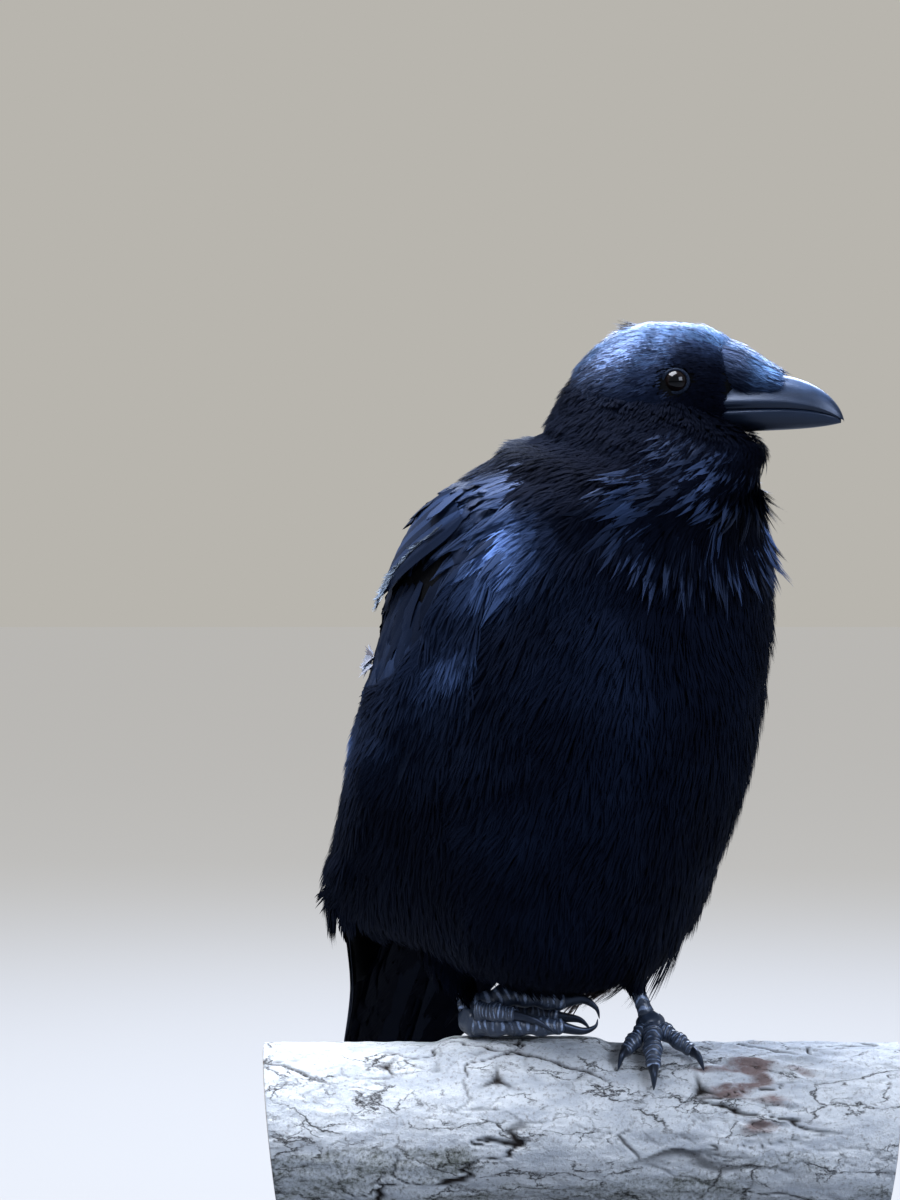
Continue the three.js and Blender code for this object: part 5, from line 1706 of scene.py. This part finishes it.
class RAVEN_OT_eyes(bpy.types.Operator):
    """Makes the two eyeballs, each with a bulging cornea"""

    bl_idname = "raven.eyes"
    bl_label = "Eyes"

    def execute(self, context):
        material = eye_material(context.scene.raven_bare.iris)
        for name, side in SIDES.items():
            centre, look, front, rise = eye_axes(side)
            tilt = np.linspace(0.004, math.pi - 0.004, 64)[:, None]
            around = circle(72)
            radius = EYE_RADIUS * (0.97 + 0.035 * bell(tilt / 0.55))
            spoke = front * np.cos(around)[..., None] + rise * np.sin(around)[..., None]
            points = centre + (look * np.cos(tilt)[..., None]
                               + spoke * np.sin(tilt)[..., None]) * radius[..., None]
            shell = closed_shell(points)
            mesh = make_mesh(f"eyeball_{name}", *outward(shell))
            grid = np.stack(np.broadcast_arrays(tilt / math.pi, around / TURN), -1).reshape(-1, 2)
            add_uv(mesh, "Iris", np.concatenate([grid, [[0, 0], [1, 0]]]))
            place(mesh, material, "eye", f"eye_{name}")
        return {"FINISHED"}


# ---------------------------------------------------------------- feet


def limb_radius(x, angle):
    """The limb's outside: nearly round, wandering below, with a low patch under the closed foot."""
    along = x / LIMB_LENGTH
    below = (1 - np.cos(angle)) / 2
    wave = np.sin(9 * along + 2 * angle) + 0.6 * np.sin(17 * along - 3 * angle + 1)
    patch = np.maximum(0, np.cos(angle)) ** 3 * np.exp(-((x - BARK_PATCH[0]) / BARK_PATCH[1]) ** 16)
    return LIMB_RADIUS + 2.2 * wave * below + BARK_PATCH[2] * patch


def over_limb(x, angle, off):
    """A point off the bark, at an angle over the limb from its top towards the camera side."""
    reach = limb_radius(x, angle) + off
    return (x, float(-reach * math.sin(angle)), float(LIMB_CENTRE + reach * math.cos(angle)))


def gripping_toe(toe, pad):
    """Middle lines of a toe over the limb and of its claw, which comes down to the bark."""
    spread, reach, size, claw = toe
    way = math.copysign(1, reach)
    start, tip = way * 0.14, reach + way * claw

    def at(share, angle, off):
        return over_limb(pad[0] + spread * LIMB_RADIUS * share * abs(reach), angle, off)

    shares = (0, 0.33, 0.67, 1)
    lift = [size + 0.35 + 6.5 * (1 - s) ** 1.5 + 1.4 * math.sin(math.pi * s) for s in shares]
    points = [at(s, start + (reach - start) * s, off) for s, off in zip(shares, lift)]
    hook = [at(1.0, reach, size + 0.6), at(1.12, (reach + tip) / 2, size + 1.4), at(1.25, tip, 0.4)]
    return size, points, hook


def closed_toe(toe, pad):
    """Middle lines of a toe closed over the bark and of its claw, from the table of the fist."""
    size, joints, claw = toe
    floor = LIMB_TOP + BARK_PATCH[2] + 0.2
    lines = [[(pad[0] + a, pad[1] + b, floor + c) for a, b, c in line] for line in (joints, claw)]
    return size, *lines


def scaled_tube(path, radius, plates, joints, up, sole=0.1):
    """A toe or shank: a tube along a path, with overlapping scutes on its upper side, each
    rising to a free edge, and pads on its under side. Returns its shell and how pale each
    point is: broad pale bands across the scutes of the upper side, partly wear and partly a
    painted highlight."""
    left, top = path_frames(path, up)
    rows = len(path)
    a = np.linspace(0, 1, rows)[:, None]
    v = circle(32)
    upper = np.clip(np.cos(v) + 0.45, 0, 1) ** 0.5
    within = (a * plates + 0.16 * np.cos(2 * v) + 0.3 * np.sin(7.3 * a + radius[0])
              + 0.14 * np.sin(3 * v + 19 * a)) % 1.0
    ridge = 0.13 * within ** 2 * upper
    pads = sole * np.abs(np.sin(math.pi * joints * a)) ** 0.7 * np.clip(-np.cos(v), 0, 1)
    grain = 0.03 * np.sin(14 * v + 40 * a) * (1 - upper)
    round_end = radius[-1] / np.linalg.norm(np.diff(path, axis=0), axis=1).sum()
    ends = np.sqrt(np.clip(1 - (np.maximum(a - 1 + round_end, 0) / (round_end + 1e-3)) ** 2, 0, 1))
    ends = ends * np.sqrt(np.clip(1 - (np.maximum(0.06 - a, 0) / 0.061) ** 2, 0, 1))
    reach = radius[:, None] * (1 + ridge + pads + grain) * ends
    ring = left[:, None] * np.sin(v)[..., None] + top[:, None] * np.cos(v)[..., None]
    points = path[:, None] + ring * reach[..., None]
    # Broad pale bands across each scute of the upper side: partly wear, partly painted highlight.
    edge = np.clip(1.3 * np.sin(math.pi * np.clip(within * 1.25 - 0.25, 0, 1)) - 0.2, 0, 1) * upper
    return outward(closed_shell(points)), np.concatenate([edge.ravel(), [0, 0]])


def knuckle(centre, sizes):
    """A rounded pad: an ellipsoid with low lumps, whose bulges carry a painted highlight."""
    lumps = 0.06
    tilt = np.linspace(0.05, math.pi - 0.05, 32)[:, None]
    v = circle(40)
    ball = np.sin(tilt) * np.cos(v), np.sin(tilt) * np.sin(v), np.cos(tilt)
    ball = np.stack(np.broadcast_arrays(*ball), -1)
    swell = 1 + lumps * ripples(ball, 0.7, 61)
    points = np.array(centre) + ball * np.array(sizes) * swell[..., None]
    # Painted highlight: the lumps' bulges are painted paler.
    edge = 0.4 * np.clip(swell - 1, 0, 1) / lumps
    return outward(closed_shell(points)), np.concatenate([edge.ravel(), [0, 0]])


def claw_tube(path, size, up):
    """A claw: a tube that tapers to its tip along a bent path, deeper than it is wide, with a
    groove along its under side."""
    left, top = path_frames(path, up)
    a = np.linspace(0, 1, len(path))[:, None]
    v = circle(24)
    radius = size * (1 - a) ** 0.72 + 0.12
    groove = 1 - 0.22 * np.exp(-((np.abs(signed_angle(v)) - math.pi) / 0.5) ** 2)
    ring = left[:, None] * (0.82 * np.sin(v))[..., None] + top[:, None] * (1.12 * np.cos(v))[..., None]
    return outward(closed_shell(path[:, None] + ring * (radius * groove)[..., None]))


class RAVEN_OT_feet(bpy.types.Operator):
    """Makes both feet: shanks and toes with scutes, and the claws"""

    bl_idname = "raven.feet"
    bl_label = "Feet"

    def execute(self, context):
        colours = context.scene.raven_bare
        scutes = scute_material(colours.scute)
        horn = horn_material("Worn black claw horn", colours.horn_dark, colours.claw, 0.36, 0.2)
        for name in SIDES:
            pad, _, ankle, _ = (np.array(part, float) for part in FEET[name])
            gripping = name == "left"
            if gripping:
                toes = [gripping_toe(toe, pad) for toe in GRIP]
                joint, thick, claw = knuckle(pad + (0, -2, 2.5), (8.0, 7.5, 7.0)), 1.2, 0.72
            else:
                toes = [closed_toe(toe, pad) for toe in FIST]
                joint, thick, claw = knuckle(pad + (4, -1, -2), (9, 12, 9.5)), 1.1, 0.62
            tubes, claws = [self.shank(pad, ankle, colours.scutes), joint], []
            for size, line, hook in toes:
                joints = len(line) - 1
                path = smooth_path(line, 150)
                a = np.linspace(0, 1, len(path))
                radius = size * thick * (1 - 0.24 * a) * (1 + 0.12 * np.cos(TURN * joints * a))
                middle = path[len(path) // 2]
                up = unit(middle - (middle[0], 0, LIMB_CENTRE)) if gripping else (0, -0.7, 1)
                tubes.append(scaled_tube(path, radius, colours.scutes, joints, up))
                claws.append(claw_tube(smooth_path(hook, 60), size * claw, up))
            shells = [tube for tube, _ in tubes]
            mesh = make_mesh(f"foot_{name}", *joined(shells))
            add_value(mesh, "edge", np.concatenate([edge for _, edge in tubes]))
            place(mesh, scutes, "foot_scutes", f"tarsus_{name}", *[f"toe_{name}_{i}" for i in range(1, 5)])
            mesh = make_mesh(f"claws_{name}", *joined(claws))
            add_value(mesh, "lightness_and_sheen", np.full(len(mesh.vertices), 0.8))
            place(mesh, horn, "bill_horn", *[f"claw_{name}_{i}" for i in range(1, 5)])
        return {"FINISHED"}

    def shank(self, pad, ankle, plates):
        """The bare shank, flaring to a knuckle that the toes leave."""
        path = smooth_path([ankle, (ankle + pad) / 2, pad + (0, 0, 1)], 170)
        a = np.linspace(0, 1, len(path))
        radius = 3.5 * (1 + 0.5 * a ** 6 + 0.25 * (1 - a) ** 3)
        return scaled_tube(path, radius, plates, 1, (0, -1, 0.2), sole=0.0)


# ---------------------------------------------------------------- limb and stand


def cell_edges(x, y, size, seed, stretch=2.2):
    """How close each place is to the edge between two cells of a seeded pattern, 0 on it."""
    rng = np.random.default_rng(seed)
    width, height = float(x.max() - x.min()), float(y.max() - y.min())
    number = int(width * height / (size * size * stretch))
    seeds = np.stack([rng.uniform(x.min(), x.max(), number) / stretch,
                      rng.uniform(y.min(), y.max(), number)], -1)
    seeds = np.concatenate([seeds, seeds + (0, height), seeds - (0, height)])
    places = np.stack([x.ravel() / stretch, y.ravel()], -1)
    gaps = np.empty(len(places))
    for part in np.array_split(np.arange(len(places)), 24):
        away = np.linalg.norm(places[part, None] - seeds[None], axis=-1)
        two = np.partition(away, 1, axis=1)[:, :2]
        gaps[part] = two[:, 1] - two[:, 0]
    return gaps.reshape(x.shape)


class RAVEN_OT_limb(bpy.types.Operator):
    """Makes the cut length of weathered limb, with cracked and torn bark"""

    bl_idname = "raven.limb"
    bl_label = "Limb"

    def execute(self, context):
        look = context.scene.raven_limb
        rows, columns = 330, 270
        s = np.linspace(-1, 1, rows)[:, None]
        shoulder = 0.93
        inside = np.abs(s) <= shoulder
        x = np.clip(s / shoulder, -1, 1) * LIMB_LENGTH / 2
        angle = circle(columns)
        shrink = np.where(inside, 1.0, (1 - np.abs(s)) / (1 - shoulder))
        x_all, angle_all = np.broadcast_arrays(x, angle)
        arc = angle_all * LIMB_RADIUS
        across, up = LIMB_RADIUS * np.sin(angle_all), LIMB_RADIUS * np.cos(angle_all)
        place_of = np.stack([x_all / 2.4, across, up], -1)
        wander = 3.5 * ripples(place_of, 16, 41) + 1.1 * ripples(place_of, 4.5, 53)
        wide = cell_edges(x_all + wander, arc + wander, 34, 42)
        fine = cell_edges(x_all + 0.6 * wander, arc - 0.6 * wander, 13, 43, 1.8)
        open_here = np.clip(0.35 + 0.9 * ripples(place_of, 38, 44), 0, 1)
        crack = bell(wide / 0.8) * open_here
        hair = bell(fine / 0.5) * np.clip(0.2 + 0.8 * ripples(place_of, 30, 45), 0, 1)
        for at, where, size in ((-35.0, 0.22, 2.2), (-45.6, 0.83, 3.0), (62.0, 0.95, 3.4),
                                (-104.0, 0.6, 2.6)):
            beyond, round_it = x_all - at, arc - where * LIMB_RADIUS
            off, way = np.hypot(beyond, round_it), np.arctan2(round_it, beyond)
            star = np.exp(-(off / (size * (1 + 1.6 * np.clip(np.cos(3 * way + at), 0, 1) ** 6))) ** 2)
            crack = np.maximum(crack, star)
        front = np.clip(np.cos(angle_all - 0.75), 0, 1)
        torn = front ** 2 * bell((x_all - 88) / 42)
        torn = torn * np.clip(0.8 + 0.6 * ripples(place_of, 12, 46), 0, 1.3)
        flakes = torn * (1.5 * ripples(place_of, 7, 47) + 0.8 * ripples(place_of, 3.2, 48))
        grain = 0.30 * ripples(place_of, 9, 49) + 0.16 * ripples(place_of, 3.0, 50)
        relief = flakes * 0.7 + grain - look.crack / MM * crack - 0.55 * hair
        radius = (limb_radius(x_all, angle_all) - 0.6 + relief) * shrink
        tilt = 0.1 * np.clip(s / shoulder, -1, 1) ** 9 * radius * np.cos(angle_all)
        dish = 0.4 * ripples(place_of * [1, 0.6, 0.6], 20, 51) * (1 - shrink) * np.sign(s)
        points = np.stack([x_all + tilt + dish, -radius * np.sin(angle_all),
                           LIMB_CENTRE + radius * np.cos(angle_all)], -1)
        shell = outward(closed_shell(points))
        mesh = make_mesh("weathered_limb", *shell)
        # Green-black towards the underside, below the limb's sides.
        under = np.abs(signed_angle(angle_all)) - 1.6
        green_below = ramp(under + 0.3 * ripples(place_of, 25, 52), 0.45)
        cut = np.broadcast_to(np.where(inside, 0.0, 1.0), x_all.shape)
        gaps = np.clip(1.25 * crack + 0.4 * hair, 0, 1)
        for name, values, ends in (("crack", gaps * inside, 0.0), ("torn", torn * inside, 0.0),
                                   ("green_below", green_below * inside, 0.0), ("cut", cut, 1.0)):
            add_value(mesh, name, np.concatenate([values.ravel(), [ends, ends]]))
        place(mesh, bark_material(look.pale, look.shaded), "weathered_wood", "perch_limb")
        return {"FINISHED"}


class RAVEN_OT_stand(bpy.types.Operator):
    """Makes the plain display stand: a flat base with softened edges and two short rods"""

    bl_idname = "raven.stand"
    bl_label = "Stand"

    def execute(self, context):
        low, high = (np.array(corner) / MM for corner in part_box("stand_base"))
        half = (high - low) / 2
        corner, soft = 18.0, 1.6
        around = circle(128)
        quarter = np.floor(around / (math.pi / 2))
        centre_x = (half[0] - corner) * np.where((quarter == 0) | (quarter == 3), 1, -1)
        centre_y = (half[1] - corner) * np.where(quarter < 2, 1, -1)
        steps = np.linspace(0, math.pi / 2, 7)
        inset = np.concatenate([soft * (1 - np.sin(steps)), soft * (1 - np.cos(steps))])[:, None]
        level = np.concatenate([low[2] + soft * (1 - np.cos(steps)),
                                high[2] - soft * (1 - np.sin(steps))])[:, None]
        points = np.stack(np.broadcast_arrays(centre_x + (corner - inset) * np.cos(around),
                                              centre_y + (corner - inset) * np.sin(around), level), -1)
        place(make_mesh("base_board", *outward(closed_shell(points))), board_material(), "stand_board",
              "stand_base")
        steel = steel_material()
        for name in SIDES:
            low, high = (np.array(corner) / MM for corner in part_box(f"stand_rod_{name}"))
            middle, radius = (low + high) / 2, (high[0] - low[0]) / 2
            turn = circle(48)
            size = radius - np.array([0.6, 0.2, 0.0, 0.0, 0.2, 0.6])[:, None]
            rise = np.concatenate([low[2] + np.array([0, 0.2, 0.6]),
                                   high[2] - np.array([0.6, 0.2, 0])])[:, None]
            rod = np.stack(np.broadcast_arrays(middle[0] + size * np.cos(turn),
                                               middle[1] + size * np.sin(turn), rise), -1)
            place(make_mesh(f"steel_rod_{name}", *outward(closed_shell(rod))), steel, "stand_steel",
                  f"stand_rod_{name}")
        return {"FINISHED"}


# ---------------------------------------------------------------- stage


class RAVEN_OT_stage(bpy.types.Operator):
    """Sets the floor, soft lights, pale surroundings and camera"""

    bl_idname = "raven.stage"
    bl_label = "Stage"

    AIM = (-0.0705, -0.020, 0.3855)
    ELEVATION = math.radians(2)
    LENS = 130.2
    FLOOR_REACH = 9000.0

    def execute(self, context):
        scene, look = context.scene, context.scene.raven_stage
        self.camera(scene, look)
        corners = np.array([(-1, -1, 0), (1, -1, 0), (1, 1, 0), (-1, 1, 0)]) * self.FLOOR_REACH
        mesh = make_mesh("floor", corners, np.array([[0, 1, 2, 3]]))
        mesh.materials.append(stage_material(look.floor))
        floor = bpy.data.objects.new("floor", mesh)
        scene.collection.objects.link(floor)
        for name, power, *placed in (("overhead", look.key, (-0.55, -0.15, 1.8), 1.2, "#eef4ff"),
                                     ("rim", look.rim, (0.15, 1.25, 1.45), 1.0, "#d6e4ff"),
                                     ("fill", look.fill, (1.45, -1.65, 1.25), 1.2, "#dce9ff")):
            self.lamp(scene, name, power, *placed)
        self.surroundings(scene)
        scene.view_settings.view_transform = "Standard"
        return {"FINISHED"}

    def camera(self, scene, look):
        """A camera level with the bird's breast that looks slightly down."""
        data = bpy.data.cameras.new("camera")
        data.lens = self.LENS
        camera = bpy.data.objects.new("camera", data)
        aim = Vector(self.AIM)
        away = Vector((0, -math.cos(self.ELEVATION), math.sin(self.ELEVATION)))
        camera.location = aim + away * look.distance
        camera.rotation_euler = (-away).to_track_quat("-Z", "Y").to_euler()
        scene.collection.objects.link(camera)
        scene.camera = camera

    def lamp(self, scene, name, power, place_of, size, colour):
        """A square soft light that faces the bird."""
        data = bpy.data.lights.new(name, "AREA")
        data.energy = power
        data.size = size
        data.color = linear(colour)[:3]
        lamp = bpy.data.objects.new(name, data)
        lamp.location = place_of
        lamp.rotation_euler = (Vector((0, 0, 0.36)) - Vector(place_of)).to_track_quat("-Z", "Y").to_euler()
        scene.collection.objects.link(lamp)

    def surroundings(self, scene):
        """A pale wall all round, as the camera sees it, which lights the bird more dimly."""
        world = bpy.data.worlds.new("surroundings")
        scene.world = world
        world.use_nodes = True
        world.node_tree.nodes.clear()
        add = partial(add_node, world.node_tree)
        seen = add("LightPath").outputs["Is Camera Ray"]
        wall = add("Background", {"Color": linear("#b8b5ae"), "Strength": 1.0})
        glow = add("Background", {"Color": linear("#c9d2e4"), "Strength": 0.33})
        add("OutputWorld", {"Surface": add("MixShader", {0: seen, 1: glow, 2: wall})})


# ---------------------------------------------------------------- panel and running


PIECES = (RAVEN_OT_stage, RAVEN_OT_skin, RAVEN_OT_body_feathers, RAVEN_OT_head_feathers, RAVEN_OT_hackles,
          RAVEN_OT_mantle, RAVEN_OT_wings, RAVEN_OT_tail, RAVEN_OT_worn, RAVEN_OT_thighs, RAVEN_OT_bill,
          RAVEN_OT_eyes, RAVEN_OT_feet, RAVEN_OT_limb, RAVEN_OT_stand)


class RAVEN_PT_build(bpy.types.Panel):
    """The raven's settings and the steps that build it"""

    bl_idname = "RAVEN_PT_build"
    bl_label = "Raven"
    bl_space_type = "VIEW_3D"
    bl_region_type = "UI"
    bl_category = "Raven"

    def draw(self, context):
        for setting in SETTINGS:
            box = self.layout.box()
            group = getattr(context.scene, setting)
            for name in group.__annotations__:
                box.prop(group, name)
        for piece in PIECES:
            self.layout.operator(piece.bl_idname)


CLASSES = (*SETTINGS.values(), *PIECES, RAVEN_PT_build)


def register():
    for cls in CLASSES:
        bpy.utils.register_class(cls)
    for name, group in SETTINGS.items():
        setattr(bpy.types.Scene, name, PointerProperty(type=group))


def unregister():
    for name in SETTINGS:
        delattr(bpy.types.Scene, name)
    for cls in reversed(CLASSES):
        bpy.utils.unregister_class(cls)


def main():
    register()
    for piece in PIECES:
        area, step = piece.bl_idname.split(".")
        getattr(getattr(bpy.ops, area), step)()


if __name__ == "__main__":
    main()
